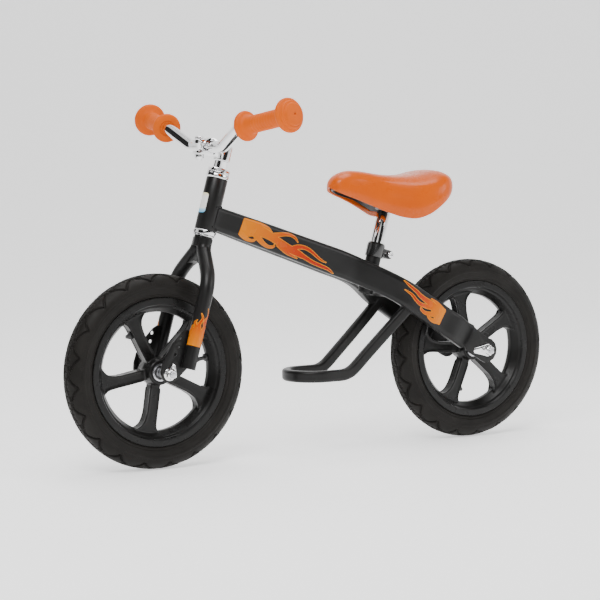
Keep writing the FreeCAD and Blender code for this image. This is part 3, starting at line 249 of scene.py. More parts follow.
def rounded(profile, radius, steps=4):
    """Replace the corners of an open outline by short arcs."""
    points = [Vector((a, b)) for a, b in profile]
    result = [points[0]]
    for before, here, after in zip(points, points[1:], points[2:]):
        back = before - here
        onward = after - here
        cut = min(radius, back.length * 0.45, onward.length * 0.45)
        first = here + back.normalized() * cut
        last = here + onward.normalized() * cut
        for step in range(steps + 1):
            t = step / steps
            result.append(first * (1 - t) ** 2 + here * 2 * t * (1 - t) + last * t * t)
    result.append(points[-1])
    return result


def lathe(name, profile, origin, axis, slot_name, body, replaces, segments=128):
    """Turn (radius, distance) pairs in metres about an axis."""
    axis, side, top = frame_of(axis)
    verts = []
    for radius, along in profile:
        for k in range(segments):
            turn = 2 * math.pi * k / segments
            out = side * math.cos(turn) + top * math.sin(turn)
            verts.append(Vector(origin) + axis * along + out * radius)
    faces = grid_faces(len(profile), segments, False, True)
    return make_object(name, verts, faces, slot_name, body, 60.0, replaces)


def swept(name, points, radius, slot_name, body, sides, replaces=(), wobble=0.0):
    """A capped round tube along points; wobble makes the beads of a weld."""
    count = len(points)
    verts = []
    last_side = None
    for i, point in enumerate(points):
        direction = (points[min(i + 1, count - 1)] - points[max(i - 1, 0)]).normalized()
        if last_side is None:
            last_side = frame_of(direction)[1]
        side = (last_side - direction * last_side.dot(direction)).normalized()
        last_side = side
        top = side.cross(direction)
        size = radius
        if wobble > 0.0:
            size = radius * (1.0 + wobble * math.sin(i * 1.9) + 0.5 * wobble
                             * noise.noise(point * 400.0))
        for k in range(sides):
            turn = 2 * math.pi * k / sides
            verts.append(point + (side * math.cos(turn) + top * math.sin(turn)) * size)
    faces = grid_faces(count, sides, False, True)
    faces.append(tuple(range(sides)))
    faces.append(tuple((count - 1) * sides + k for k in reversed(range(sides))))
    return make_object(name, verts, faces, slot_name, body, 50.0, replaces)


def bent_path(corners, bends, step=0.002):
    """Points along straight runs joined by arcs."""
    path = [Vector(corners[0])]
    for i in range(1, len(corners) - 1):
        here = Vector(corners[i])
        back = (Vector(corners[i - 1]) - here).normalized()
        onward = (Vector(corners[i + 1]) - here).normalized()
        half = back.angle(onward) / 2
        reach = bends[i - 1] / math.tan(half)
        hub = here + (back + onward).normalized() * (bends[i - 1] / math.sin(half))
        first = here + back * reach - hub
        last = here + onward * reach - hub
        sweep = first.angle(last)
        steps = max(4, int(sweep * bends[i - 1] / step))
        for k in range(steps + 1):
            t = k / steps
            arm = (first * math.sin((1 - t) * sweep) + last * math.sin(t * sweep)) / math.sin(sweep)
            path.append(hub + arm)
    path.append(Vector(corners[-1]))
    filled = [path[0]]
    for a, b in zip(path, path[1:]):
        pieces = max(1, int((b - a).length / 0.004))
        for k in range(1, pieces + 1):
            filled.append(a.lerp(b, k / pieces))
    return filled


def run_modifiers(obj):
    """Bake an object's modifiers into its mesh."""
    bpy.context.view_layer.update()
    graph = bpy.context.evaluated_depsgraph_get()
    fresh = bpy.data.meshes.new_from_object(obj.evaluated_get(graph))
    obj.modifiers.clear()
    obj.data = fresh
    return obj


def refined(node):
    """A CAD node redrawn with its flat faces merged and its edges slightly rounded."""
    obj = linked(node + "_look", NODES[node].data.copy())
    mesh = obj.data
    work = bmesh.new()
    work.from_mesh(mesh)
    bmesh.ops.remove_doubles(work, verts=work.verts, dist=2e-6)
    bmesh.ops.dissolve_limit(work, angle_limit=math.radians(0.6), verts=work.verts,
                             edges=work.edges)
    work.to_mesh(mesh)
    work.free()
    edge = obj.modifiers.new("edge", "BEVEL")
    edge.width = 0.4 * MM
    edge.segments = 2
    edge.limit_method = "ANGLE"
    edge.angle_limit = math.radians(38.0)
    edge.use_clamp_overlap = True
    edge.harden_normals = False
    run_modifiers(obj)
    smooth_by_angle(obj, 30.0)
    dressed(obj, SLOT[node])
    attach(obj, BODY[node])
    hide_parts(node)
    return obj


def sealed_bearing(node):
    """Steel rings with a black dust seal between them."""
    obj = refined(node)
    obj.data.materials.append(MAT["saddle_base"])
    axis = FRONT if node.startswith("front") else REAR
    for polygon in obj.data.polygons:
        spots = [obj.data.vertices[i].co - axis for i in polygon.vertices]
        reach = sum(math.hypot(spot.x, spot.z) for spot in spots) / len(spots)
        if abs(polygon.normal.y) > 0.7 and 0.0068 < reach < 0.0112:
            polygon.material_index = 1


# ------------------------------------------------------------------ main lines of the bike
# UP runs along the leaning steering axis, AHEAD is square to it
UP = Vector(JOINT["steering"]["axis"])
AHEAD = Vector((UP.z, 0, -UP.x))
HEAD = Vector(JOINT["steering"]["pos_m"])
FRONT = Vector(JOINT["front_wheel_spin"]["pos_m"])
REAR = Vector(JOINT["rear_wheel_spin"]["pos_m"])
BAR = Vector(JOINT["bar_tilt"]["pos_m"])
SEAT = Vector((-0.1165, 0, 0.3384))
TUBE_CORNER = 7.5
LEG_RADIUS = 11.5
LEG_SPACING = 53.5
HEAD_RADIUS = 17.0
BAR_RADIUS = 9.5 * MM
SADDLE_HALF = 71.0


def steering_point(forward, side, up):
    return HEAD + AHEAD * forward * MM + Vector((0, side * MM, 0)) + UP * up * MM


def ease(amount):
    amount = min(max(amount, 0.0), 1.0)
    return amount * amount * (3 - 2 * amount)


# ------------------------------------------------------------------ tyres
def tread_cut(turn, side_mm, sign):
    """Depth in mm of the tread grooves at an angle and a distance from the middle."""
    pitch = 2 * math.pi / 20
    shift = 0.5 if sign < 0 else 0.0
    t = (turn / pitch + shift) % 1.0
    depth = 0.0
    if t < 0.68:
        scallop = 9.5 + 12.0 * (t / 0.68) ** 1.9
    else:
        scallop = 21.5 - 12.0 * ((t - 0.68) / 0.32) ** 0.9
    gap = abs(side_mm - scallop) * (0.75 if t < 0.68 else 0.62)
    if gap < 1.5:
        depth = max(depth, 2.6 * ease((1.5 - gap) / 0.8))
    inner = 5.2 + 2.6 * math.sin(2 * math.pi * t)
    gap = abs(side_mm - inner)
    if gap < 1.5:
        depth = max(depth, 1.9 * ease((1.5 - gap) / 0.7))
    tick = abs(t - 0.40 - 0.020 * (side_mm - 11.0)) * 48.0
    if tick < 1.3 and 7.5 < side_mm < 12.5:
        depth = max(depth, 1.6 * ease((1.3 - tick) / 0.6))
    for spot in (0.0, 0.2, 0.4, 0.6, 0.8):
        bar = abs(((t - spot + 0.5) % 1.0) - 0.5) * 48.0
        if bar < 1.2 and side_mm < 9.0:
            depth = max(depth, 1.1 * ease((1.2 - bar) / 0.6))
    return depth


TYRE_SIDE = [(152.5, 0.0), (152.3, 4.0), (151.5, 8.5), (149.6, 13.0), (146.6, 17.0),
             (142.4, 20.6), (137.6, 22.9), (132.5, 23.9), (128.0, 24.0), (123.5, 23.3),
             (119.4, 21.6), (116.6, 19.4), (114.0, 18.1), (108.0, 18.0)]


def catmull(points, steps):
    """A smooth line through points, with a number of steps from each to the next."""
    result = []
    count = len(points)
    for i in range(count - 1):
        p0 = Vector(points[max(i - 1, 0)])
        p1 = Vector(points[i])
        p2 = Vector(points[i + 1])
        p3 = Vector(points[min(i + 2, count - 1)])
        for k in range(steps):
            t = k / steps
            result.append(0.5 * ((2 * p1) + (p2 - p0) * t + (2 * p0 - 5 * p1 + 4 * p2 - p3) * t * t
                                 + (3 * p1 - p0 - 3 * p2 + p3) * t * t * t))
    result.append(Vector(points[-1]))
    return result


def tyre(name, centre, body, node, phase):
    """A hollow tyre with its tread cut into the outer skin; phase turns the pattern."""
    half = catmull(TYRE_SIDE, 4)
    right = [(p[0], -p[1]) for p in reversed(half[1:])]
    left = [(p[0], p[1]) for p in half]
    outer = right + left
    inner = [(108.0, 14.0), (116.0, 14.2), (121.0, 18.0), (129.5, 19.4), (138.5, 18.4),
             (143.0, 13.0), (146.6, 5.0), (146.6, -5.0), (143.0, -13.0), (138.5, -18.4),
             (129.5, -19.4), (121.0, -18.0), (116.0, -14.2), (108.0, -14.0)]
    segments = 1300
    verts = []
    for k in range(segments):
        turn = 2 * math.pi * k / segments
        out = Vector((math.cos(turn), 0, math.sin(turn)))
        for r, y in outer:
            cut = 0.0
            side = abs(y)
            if r > 140.0:
                cut = tread_cut(turn + phase, side, 1 if y >= 0 else -1)
                cut = cut * ease((r - 140.0) / 2.5)
            elif 130.6 < r < 133.8:
                cut = -0.9
            elif 119.4 < r < 121.8:
                cut = 0.8
            elif 134.0 < r < 139.0:
                cut = -0.25 * (1 if (turn * 150 / math.pi) % 1.0 > 0.5 else 0)
            inward = Vector((r - 128.0, y)).normalized()
            rr = r - cut * inward.x
            yy = y - cut * inward.y
            verts.append(centre + out * rr * MM + Vector((0, yy * MM, 0)))
        for r, y in inner:
            verts.append(centre + out * r * MM + Vector((0, y * MM, 0)))
    faces = grid_faces(segments, len(outer) + len(inner), True, True)
    return make_object(name, verts, faces, "tyre_rubber", body, 34.0, (node,))


# ------------------------------------------------------------------ wheels
def moulded_rim(name, node, body, centre, first_turn):
    """The rim redrawn as one moulding with soft edges and a raised lip round every window."""
    obj = linked(name, NODES[node].data.copy())
    mesh = obj.data
    work = bmesh.new()
    work.from_mesh(mesh)
    across = 8.5
    lip = 1.5
    face = 8.3
    for sign in (1, -1):
        for k in range(5):
            base = math.radians(first_turn + 72 * k)
            edges = [
                [(27.0, across - 0.6), (50.0, across - 0.6), (76.0, across - 0.9),
                 (88.0, across + 0.3), (93.5, across + 3.6)],
                [(27.0, -across + 0.6), (50.0, -across + 0.6), (64.0, -across + 0.2),
                 (78.0, -across - 2.6), (86.0, -across - 7.6), (91.0, -across - 14.5),
                 (94.0, -across - 22.0)]]
            for edge in edges:
                line = catmull(edge, 6)
                previous = None
                for out, up in line:
                    x = -out * math.cos(base) + up * math.sin(base)
                    z = out * math.sin(base) + up * math.cos(base)
                    depth = face if out < 86 else face + (out - 86) * 0.12
                    spot = centre + Vector((x * MM, sign * depth * MM, z * MM))
                    if previous is not None:
                        add_rod(work, previous, spot, lip * MM)
                    previous = spot
    work.to_mesh(mesh)
    work.free()
    skin = obj.modifiers.new("skin", "REMESH")
    skin.mode = "VOXEL"
    skin.voxel_size = 0.00105
    run_modifiers(obj)
    soft = obj.modifiers.new("soft", "SMOOTH")
    soft.factor = 0.5
    soft.iterations = 7
    run_modifiers(obj)
    smooth_all(obj)
    dressed(obj, "wheel_plastic")
    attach(obj, body)
    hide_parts(node)
    return obj


def add_rod(work, start, end, radius, sides=10):
    """A short closed rod, a little longer than its two ends, so that a chain of them joins."""
    direction, side, top = frame_of(end - start)
    first = []
    last = []
    for k in range(sides):
        turn = 2 * math.pi * k / sides
        out = (side * math.cos(turn) + top * math.sin(turn)) * radius
        first.append(work.verts.new(start - direction * radius * 0.3 + out))
        last.append(work.verts.new(end + direction * radius * 0.3 + out))
    for k in range(sides):
        n = (k + 1) % sides
        work.faces.new((first[k], first[n], last[n], last[k]))
    work.faces.new(list(reversed(first)))
    work.faces.new(last)


# ------------------------------------------------------------------ build
tyre("front_tyre_tread", FRONT, "front_wheel", "front_tyre", 0.0)
tyre("rear_tyre_tread", REAR, "rear_wheel", "rear_tyre", 0.9)
moulded_rim("front_rim_moulding", "front_rim", "front_wheel", FRONT, 46.0)
moulded_rim("rear_rim_moulding", "rear_rim", "rear_wheel", REAR, 31.5)

# handlebar
knee = Vector((0.2104, 0.113, 0.5288))
tip = Vector((0.1872, 0.231, 0.5473))
mirror = Matrix.Diagonal((1, -1, 1)).to_3x3()
bar_corners = [mirror @ tip, mirror @ knee, BAR + Vector((0, -0.05, 0)),
               BAR + Vector((0, 0.05, 0)), knee, tip]
swept("handlebar_tube", bent_path(bar_corners, [0.03] * 4, 0.0015), BAR_RADIUS, "chrome",
      "handlebar", 64, ("handlebar",))

# grips
grip_line = (tip - knee).normalized()
stretch = 1 / grip_line.y
grip_span = 94.0 * stretch
bar_span = 102.0 * stretch
GRIP = [
    (9.55, -5.5), (11.4, -5.5), (11.4, -4.3), (12.4, -4.3), (12.4, -5.5), (17.0, -5.5),
    (21.2, -4.7), (23.0, -2.6), (23.5, 0.0), (23.0, 2.4), (21.2, 4.6), (17.5, 6.4),
    (14.7, 9.5), (13.8, 14.0), (13.8, 22.0)]
for ridge in range(9):
    spot = 24.0 + ridge * (grip_span - 48.0) / 8
    GRIP += [(13.8, spot - 1.1), (13.45, spot - 0.5), (13.45, spot + 0.5), (13.8, spot + 1.1)]
GRIP += [
    (13.8, grip_span - 14.0), (15.0, grip_span - 9.5), (20.0, grip_span - 6.8),
    (24.1, grip_span - 5.4), (26.0, grip_span - 2.8), (26.5, grip_span),
    (25.9, grip_span + 2.8), (23.9, grip_span + 4.6), (21.6, grip_span + 5.4),
    (21.4, grip_span + 7.6), (20.2, grip_span + 9.0), (17.6, grip_span + 9.4),
    (17.3, grip_span + 11.4), (15.5, grip_span + 12.8), (8.0, grip_span + 13.6),
    (1.4, grip_span + 13.8), (1.4, bar_span + 1.0), (9.55, bar_span)]
for side_name, sign in (("left", 1), ("right", -1)):
    start = knee + grip_line * (16.0 * MM * stretch)
    spot = Vector((start.x, sign * start.y, start.z))
    aim = Vector((grip_line.x, sign * grip_line.y, grip_line.z))
    outline = [(a * MM, b * MM) for a, b in rounded(GRIP + [GRIP[0]], 1.6)]
    lathe("grip_" + side_name + "_rubber", outline, spot, aim, "grip_rubber", "handlebar",
          ("grip_" + side_name,))

# saddle station: forward position, half width as a share, top height, lower edge height
SADDLE = [
    (-22.0, 0.0, 433.3, 433.2), (-22.6, 0.06, 435.6, 431.4), (-24.4, 0.125, 439.0, 429.4),
    (-28.0, 0.205, 445.0, 426.0), (-34.5, 0.275, 451.2, 422.7),
    (-46.0, 0.33, 456.8, 418.0), (-61.0, 0.365, 459.6, 412.5), (-85.0, 0.43, 457.8, 402.5),
    (-110.0, 0.55, 453.8, 391.5), (-135.0, 0.74, 451.5, 382.0), (-158.0, 0.90, 451.6, 379.5),
    (-182.0, 0.985, 454.2, 387.5), (-203.0, 1.0, 458.2, 401.0), (-218.0, 0.945, 459.2, 411.5),
    (-230.0, 0.82, 456.0, 420.0), (-238.0, 0.66, 450.0, 425.5), (-241.8, 0.52, 443.0, 429.0),
    (-243.2, 0.43, 438.0, 431.6), (-243.6, 0.38, 434.6, 434.2)]
ARCH = [(0.955, 0.0), (0.985, 0.12), (1.0, 0.30), (0.97, 0.56), (0.84, 0.79), (0.55, 0.94),
        (0.22, 0.992), (0.0, 1.0)]


def saddle_shell():
    """The cover's outer skin, open underneath."""
    rows = catmull(SADDLE, 6)
    arch = catmull(ARCH, 4)
    arch = arch + [Vector((-p[0], p[1])) for p in reversed(arch[:-1])]
    verts = []
    for x, share, top, low in rows:
        half = max(SADDLE_HALF * share, 0.02)
        for across, up in arch:
            verts.append(Vector((x, half * across, low + (top - low) * up)) * MM)
    return verts, grid_faces(len(rows), len(arch))


saddle = raw_object("saddle_cover_foam", *saddle_shell())
mesh = saddle.data
work = bmesh.new()
work.from_mesh(mesh)
bmesh.ops.remove_doubles(work, verts=work.verts, dist=1e-7)
bmesh.ops.recalc_face_normals(work, faces=work.faces)
if sum((f.normal.z for f in work.faces)) < 0:
    bmesh.ops.reverse_faces(work, faces=work.faces)
work.to_mesh(mesh)
work.free()
thick = saddle.modifiers.new("thick", "SOLIDIFY")
thick.thickness = 0.0044
thick.offset = -1.0
run_modifiers(saddle)
soft = saddle.modifiers.new("soft", "SUBSURF")
soft.levels = 1
soft.render_levels = 1
run_modifiers(saddle)
smooth_all(saddle)
dressed(saddle, "saddle_cover")
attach(saddle, "saddle")
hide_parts("saddle_cover")

# every other part keeps its CAD shape; most get their edges eased, the parts in KEEP are only dressed and
# smooth-shaded
DONE = {"front_tyre", "rear_tyre", "front_rim", "rear_rim", "handlebar", "grip_left",
        "grip_right", "saddle_cover"}
KEEP = {"frame_tube_left", "frame_tube_right", "fork_leg_left", "fork_leg_right",
        "footrest_tube", "saddle_base"}
for node in sorted(NODES):
    if node in DONE:
        continue
    if node in KEEP:
        dressed(NODES[node], SLOT[node])
        smooth_by_angle(NODES[node], 30.0)
    elif "_bearing_" in node:
        sealed_bearing(node)
    else:
        refined(node)


# ------------------------------------------------------------------ tube surfaces
MAIN_SLOPE = math.tan(math.radians(19.3))
STAY_SLOPE = math.tan(math.radians(32.2))
MEET_X = (384.3 - MAIN_SLOPE * 184 - 178 + STAY_SLOPE * -262) / (STAY_SLOPE - MAIN_SLOPE)


def frame_line(x):
    """Centre line, height and width of the left frame tube in millimetres."""
    if x > MEET_X + 45:
        z = 384.3 + MAIN_SLOPE * (x - 184)
    elif x < MEET_X - 45:
        z = 178 + STAY_SLOPE * (x + 262)
    else:
        z = 384.3 + MAIN_SLOPE * (x - 184)
        z -= (STAY_SLOPE - MAIN_SLOPE) * 45 * ((MEET_X + 45 - x) / 90) ** 2
    flare = ease((-52 - x) / 96)
    wide = 21 - 4.4 * ease((x - 110) / 70)
    y = wide / 2 + 0.4 + 41.5 * flare
    if x > -23:
        tall = 38 + 7 * (184 - x) / 207
    elif x > -115:
        tall = 45 - 3 * ease((-23 - x) / 92)
    else:
        tall = 42 + 3 * ease((-115 - x) / 94)
    return Vector((x, y, z)), tall, wide


def tube_frame(x):
    """The centre line's place, its directions along, outwards and up, and the tube's size."""
    centre, tall, wide = frame_line(x)
    along = (frame_line(x - 0.5)[0] - frame_line(x + 0.5)[0]).normalized()
    side = Vector((-along.y, along.x, 0)).normalized()
    if side.y < 0:
        side = -side
    top = along.cross(side)
    if top.z < 0:
        top = -top
    return centre, along, side, top, tall, wide


def tree_of(*nodes):
    """A search tree over the faces of CAD nodes, for rays."""
    verts = []
    faces = []
    for node in nodes:
        start = len(verts)
        data = NODES[node].data
        verts += [v.co.copy() for v in data.vertices]
        faces += [tuple(start + i for i in p.vertices) for p in data.polygons]
    return BVHTree.FromPolygons(verts, faces)


TUBE_TREES = {1: tree_of("frame_tube_left"), -1: tree_of("frame_tube_right")}


def on_tube(x, height, lift, sign):
    """A point just off the outer face of a frame tube, in metres."""
    centre, along, side, top, tall, wide = tube_frame(x)
    flat = tall / 2 - TUBE_CORNER
    turn = 0.0
    inner = centre + top * height
    if abs(height) > flat:
        turn = min((abs(height) - flat) / TUBE_CORNER, 1.2)
        inner = centre + side * (wide / 2 - TUBE_CORNER) + top * math.copysign(flat, height)
    out = side * math.cos(turn) + top * math.copysign(math.sin(turn), height)
    start = inner + out * 26.0
    flip = Vector((1, sign, 1))
    hit = TUBE_TREES[sign].ray_cast(start * flip * MM, -(out * flip), 0.04)
    spot = hit[0] if hit[0] is not None else (inner + out * 10.5) * flip * MM
    return spot + out * flip * lift * MM


def on_leg(up, around, lift, sign):
    """A point on a fork leg; around is the arc length from the outer side."""
    turn = around / LEG_RADIUS
    out = AHEAD * math.sin(turn) + Vector((0, sign * math.cos(turn), 0))
    return steering_point(2, sign * LEG_SPACING, up) + out * (LEG_RADIUS + lift) * MM


def on_head(up, around, lift):
    """A point on the front of the head tube; around is the arc length from the middle."""
    turn = around / HEAD_RADIUS
    out = AHEAD * math.cos(turn) + Vector((0, math.sin(turn), 0))
    return steering_point(0, 0, up) + out * (HEAD_RADIUS + lift) * MM


# ------------------------------------------------------------------ decals
def flame_material(name, stops):
    """A printed colour that runs from the root of a flame to its tips."""
    n = Nodes(name)
    split = n.add("ShaderNodeSeparateXYZ")
    n.link(n.coord.outputs["UV"], split.inputs["Vector"])
    blur = n.noise(55.0, 2.0)
    mix = n.add("ShaderNodeMath", operation="MULTIPLY_ADD")
    n.link(blur, mix.inputs[0])
    mix.inputs[1].default_value = 0.10
    n.link(split.outputs["X"], mix.inputs[2])
    n.link(n.ramp(mix.outputs["Value"], stops), n.shader.inputs["Base Color"])
    n.link(n.scaled(n.noise(40.0), 0.20, 0.30), n.shader.inputs["Roughness"])
    n.link(n.bump(n.noise(900.0), 0.00001), n.shader.inputs["Normal"])
    n.set(Coat_Weight=0.08, Coat_Roughness=0.08, Specular_IOR_Level=0.15)
    return n.mat


FLAME = flame_material("flame_fill", [(0.05, (0.64, 0.185, 0.0)), (0.32, (0.58, 0.125, 0.0)),
                                      (0.60, (0.46, 0.034, 0.0)), (0.92, (0.34, 0.010, 0.0))])
EDGE = flame_material("flame_edge", [(0.0, (0.66, 0.20, 0.0)), (1.0, (0.72, 0.26, 0.002))])


def decal(name, verts, faces, shades, material, body):
    """A thin printed film on the frame or the fork, with a UV pair for each point."""
    obj = raw_object(name, verts, faces)
    uv = obj.data.uv_layers.new(name="UVMap")
    for loop in obj.data.loops:
        uv.data[loop.index].uv = shades[loop.vertex_index]
    smooth_all(obj)
    obj.data.materials.append(material)
    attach(obj, body)


def flame(name, strokes, length, place, body, sign):
    """Tapered strokes laid on a surface: a pale edge below and a coloured fill above."""
    for layer, grow, lift, material in (("edge", 0.9, 0.10, EDGE), ("fill", 0.0, 0.20, FLAME)):
        verts = []
        faces = []
        shades = []
        for number, stroke in enumerate(strokes):
            line = catmull(stroke, 10)
            start = len(verts)
            columns = max(9, int(max(row[2] for row in line) / 1.1))
            for i, (along, height, width) in enumerate(line):
                before = line[max(i - 1, 0)]
                after = line[min(i + 1, len(line) - 1)]
                step = Vector((after[0] - before[0], after[1] - before[1])).normalized()
                normal = Vector((-step.y, step.x))
                half = max(width / 2 + grow, 0.15)
                ahead = grow if i == len(line) - 1 else 0.0
                for j in range(columns):
                    t = (2 * j / (columns - 1) - 1) * half
                    a = along + normal.x * t + step.x * ahead * 1.5
                    h = height + normal.y * t + step.y * ahead * 1.5
                    verts.append(place(a, h, lift + 0.012 * number, sign))
                    shades.append((along / length, j / (columns - 1)))
            faces += grid_faces(len(line), columns, False, False, start)
        decal(name + "_" + layer, verts, faces, shades, material, body)


# rows of distance along, height across and width of each stroke, in millimetres
MAIN_FLAME = [
    [(0, 0.5, 24), (3, 0.5, 28), (12, 2, 27), (24, 3.5, 21), (38, 3.5, 15), (54, 1.5, 12),
     (72, -2.5, 11), (92, -7, 11.5), (110, -9, 10), (126, -11.5, 6), (142, -14.5, 5),
     (158, -15.5, 4.6), (174, -16.5, 3.4), (186, -20.5, 0.4)],
    [(10, 12, 7), (24, 13.5, 6), (36, 14.2, 4), (47, 12.0, 2.6), (54, 8.8, 0.3)],
    [(54, 2, 8), (66, 7.5, 6), (78, 12.5, 4.6), (89, 14.6, 3.6), (99, 12.5, 2.4), (105, 8.0, 0.4)],
    [(98, -6, 8), (108, 0.5, 6.4), (121, 3.2, 5), (134, 1.4, 4.2), (146, -3.0, 3.2),
     (157, -6.5, 2.0), (166, -7.5, 0.4)],
    [(3, -8, 11), (10, -13, 7.5), (18, -15.8, 4.8), (26, -14.6, 3.2), (29, -10.6, 2.0),
     (26, -7.4, 0.3)],
    [(26, -3, 10), (36, -9, 7.6), (46, -13.8, 5.4), (56, -15.6, 3.8), (64, -12.6, 2.4),
     (65, -8.0, 0.4)],
    [(70, -6, 7), (82, -11.5, 5), (94, -15.2, 3.6), (104, -16.2, 2.2), (112, -17.6, 0.3)]]
STAY_FLAME = [
    [(0, 0, 24), (3, 0, 28), (10, 1, 25), (20, 4, 17), (32, 7.5, 10.5), (45, 8, 7.2), (58, 8.5, 5.8),
     (72, 11.5, 4.0), (84, 14.5, 2.6), (93, 17.5, 0.4)],
    [(28, 4, 8), (40, -0.5, 6), (52, -3, 4.8), (64, -1.5, 3.8), (75, 2.8, 2.4), (86, 4.5, 0.4)],
    [(3, -8, 10), (11, -12.5, 6.5), (20, -14.5, 4), (28, -12.5, 2.6), (29, -8.4, 0.4)],
    [(16, -2, 9), (26, -7.5, 6), (37, -10.8, 4.2), (46, -9.4, 2.8), (48, -5.4, 0.4)],
    [(5, 10, 7), (16, 13, 5), (26, 15.2, 3.4), (36, 15.6, 0.4)]]
# the band goes round the outer half of each leg, with the tallest tongues to the rear
LEG_FLAME = [[(0, 1.5, 32.4), (11, 1.5, 32.4), (22, 1.5, 32.4)]]
for spot, reach, lean in ((-12, 38, 1.5), (-8, 60, 2.5), (-3, 45, -2), (2, 51, 2.5), (7, 36, 2),
                          (11, 40, -2), (15, 31, -1)):
    LEG_FLAME.append([(16, spot, 7.5), (23, spot, 6.4),
                      (23 + (reach - 23) * 0.40, spot + lean, 3.8),
                      (23 + (reach - 23) * 0.75, spot - lean * 0.4, 2.2),
                      (reach, spot + lean * 0.9, 0.3)])


def main_place(along, height, lift, sign):
    return on_tube(154 - along * 0.952, height, lift, sign)


def stay_place(along, height, lift, sign):
    return on_tube(-206 + along * 0.846, height, lift, sign)


def leg_place(along, height, lift, sign):
    return on_leg(-183 + along, height, lift, sign)


for side_name, sign in (("left", 1), ("right", -1)):
    flame("main_flame_" + side_name, MAIN_FLAME, 187.0, main_place, "frame", sign)
    flame("stay_flame_" + side_name, STAY_FLAME, 92.0, stay_place, "frame", sign)
    flame("leg_flame_" + side_name, LEG_FLAME, 74.0, leg_place, "fork", sign)

# plain two-tone label on the front of the head tube
label = Nodes("plain_label")
split = label.add("ShaderNodeSeparateXYZ")
label.link(label.coord.outputs["UV"], split.inputs["Vector"])
label.link(label.ramp(split.outputs["Y"], [(0.0, (0.10, 0.42, 0.70)), (0.16, (0.35, 0.62, 0.80)),
                                           (0.24, (0.84, 0.84, 0.82)), (0.80, (0.86, 0.86, 0.84)),
                                           (1.0, (0.86, 0.80, 0.52))]),
           label.shader.inputs["Base Color"])
label.link(label.scaled(label.noise(60.0), 0.18, 0.3), label.shader.inputs["Roughness"])
label.link(label.bump(label.noise(500.0), 0.00001), label.shader.inputs["Normal"])
verts = []
shades = []
for i in range(41):
    t = i / 40
    up = 25.5 + 32 * t
    edge = min(t, 1 - t) * 32
    half = 11.0 if edge > 4 else 7.0 + 4.0 * math.sqrt(max(0.0, 1 - ((4 - edge) / 4) ** 2))
    for j in range(17):
        around = half * (2 * j / 16 - 1)
        verts.append(on_head(up, around, 0.12))
        shades.append((j / 16, t))
decal("head_label", verts, grid_faces(41, 17), shades, label.mat, "frame")


# ------------------------------------------------------------------ welds
def weld(name, starts, direction, tree, body, reach=0.12, radius=0.0015):
    """A rippled bead where rays from a ring of starts meet another part."""
    runs = [[]]
    for start in starts:
        hit = tree.ray_cast(start, direction, reach)
        if hit[0] is None:
            if runs[-1]:
                runs.append([])
            continue
        spot = hit[0]
        if runs[-1] and (spot - runs[-1][-1]).length > 0.009:
            runs.append([])
        if not runs[-1] or (spot - runs[-1][-1]).length > 0.0004:
            runs[-1].append(spot)
    for number, run in enumerate(runs):
        if len(run) > 6:
            dense = [run[0]]
            for a, b in zip(run, run[1:]):
                pieces = max(1, int((b - a).length / 0.0005))
                for k in range(1, pieces + 1):
                    dense.append(a.lerp(b, k / pieces))
            swept(name + "_" + str(number), dense, radius, "frame_paint", body, 10, wobble=0.16)


head_tree = tree_of("head_tube")
under_tree = tree_of("frame_tube_left", "frame_tube_right")
seat_tree = tree_of("frame_tube_left", "frame_tube_right", "frame_bridge_upper")
for side_name, sign in (("left", 1), ("right", -1)):
    ring = []
    centre, along, side, top, tall, wide = tube_frame(164)
    for k in range(121):
        turn = math.pi * (k / 120 - 0.5)
        height = tall / 2 * math.sin(turn)
        flat = tall / 2 - 7.0
        over = max(0.0, (abs(height) - flat) / 7.0)
        across = wide / 2 - 7.0 * (1 - math.sqrt(max(0.0, 1 - over * over)))
        spot = centre + side * across + top * height
        ring.append(Vector((spot.x, sign * spot.y, spot.z)) * MM)
    weld("head_weld_" + side_name, ring, Vector((-along.x, 0, -along.z)), head_tree, "frame")
    ring = []
    for k in range(97):
        turn = 2 * math.pi * k / 96
        across = 7.2 * math.copysign(abs(math.cos(turn)) ** 0.5, math.cos(turn))
        height = 9.7 * math.copysign(abs(math.sin(turn)) ** 0.5, math.sin(turn))
        spot = Vector((-105, 47.0 + across, 128.3 + 74 * math.tan(math.radians(42))))
        spot += Vector((math.sin(math.radians(42)), 0, math.cos(math.radians(42)))) * height
        ring.append(Vector((spot.x, sign * spot.y, spot.z)) * MM)
    weld("foot_weld_" + side_name, ring,
         Vector((-math.cos(math.radians(42)), 0, math.sin(math.radians(42)))), under_tree, "frame")
    for face_name, face_y in (("outer", 58.6), ("inner", 54.4)):
        centre, along, side, top, tall, wide = tube_frame(-262)
        run = []
        for k in range(81):
            spot = centre + top * (-19.0 + 38.0 * k / 80)
            run.append(Vector((spot.x + along.x * 0.3, sign * face_y, spot.z + along.z * 0.3)) * MM)
        swept("stay_weld_" + side_name + "_" + face_name, run, 0.0014, "frame_paint", "frame", 10,
              wobble=0.16)
ring = []
for k in range(181):
    turn = 2 * math.pi * k / 180
    ring.append(SEAT + UP * -0.022 + AHEAD * 0.0129 * math.cos(turn)
                + Vector((0, 0.0129 * math.sin(turn), 0)))
weld("seat_weld", ring, -UP, seat_tree, "frame")


# ------------------------------------------------------------------ stage, light, camera
floor_mat = surface("studio_floor", (0.93, 0.93, 0.93), (0.915, 0.915, 0.915), (0.55, 0.7),
                    patch=2.0, grain=200.0, grain_depth=0.00002, specular=0.2)
floor_inputs = floor_mat.node_tree.nodes["Principled BSDF"].inputs
floor_inputs["Emission Color"].default_value = (1, 1, 1, 1)
floor_inputs["Emission Strength"].default_value = 0.75
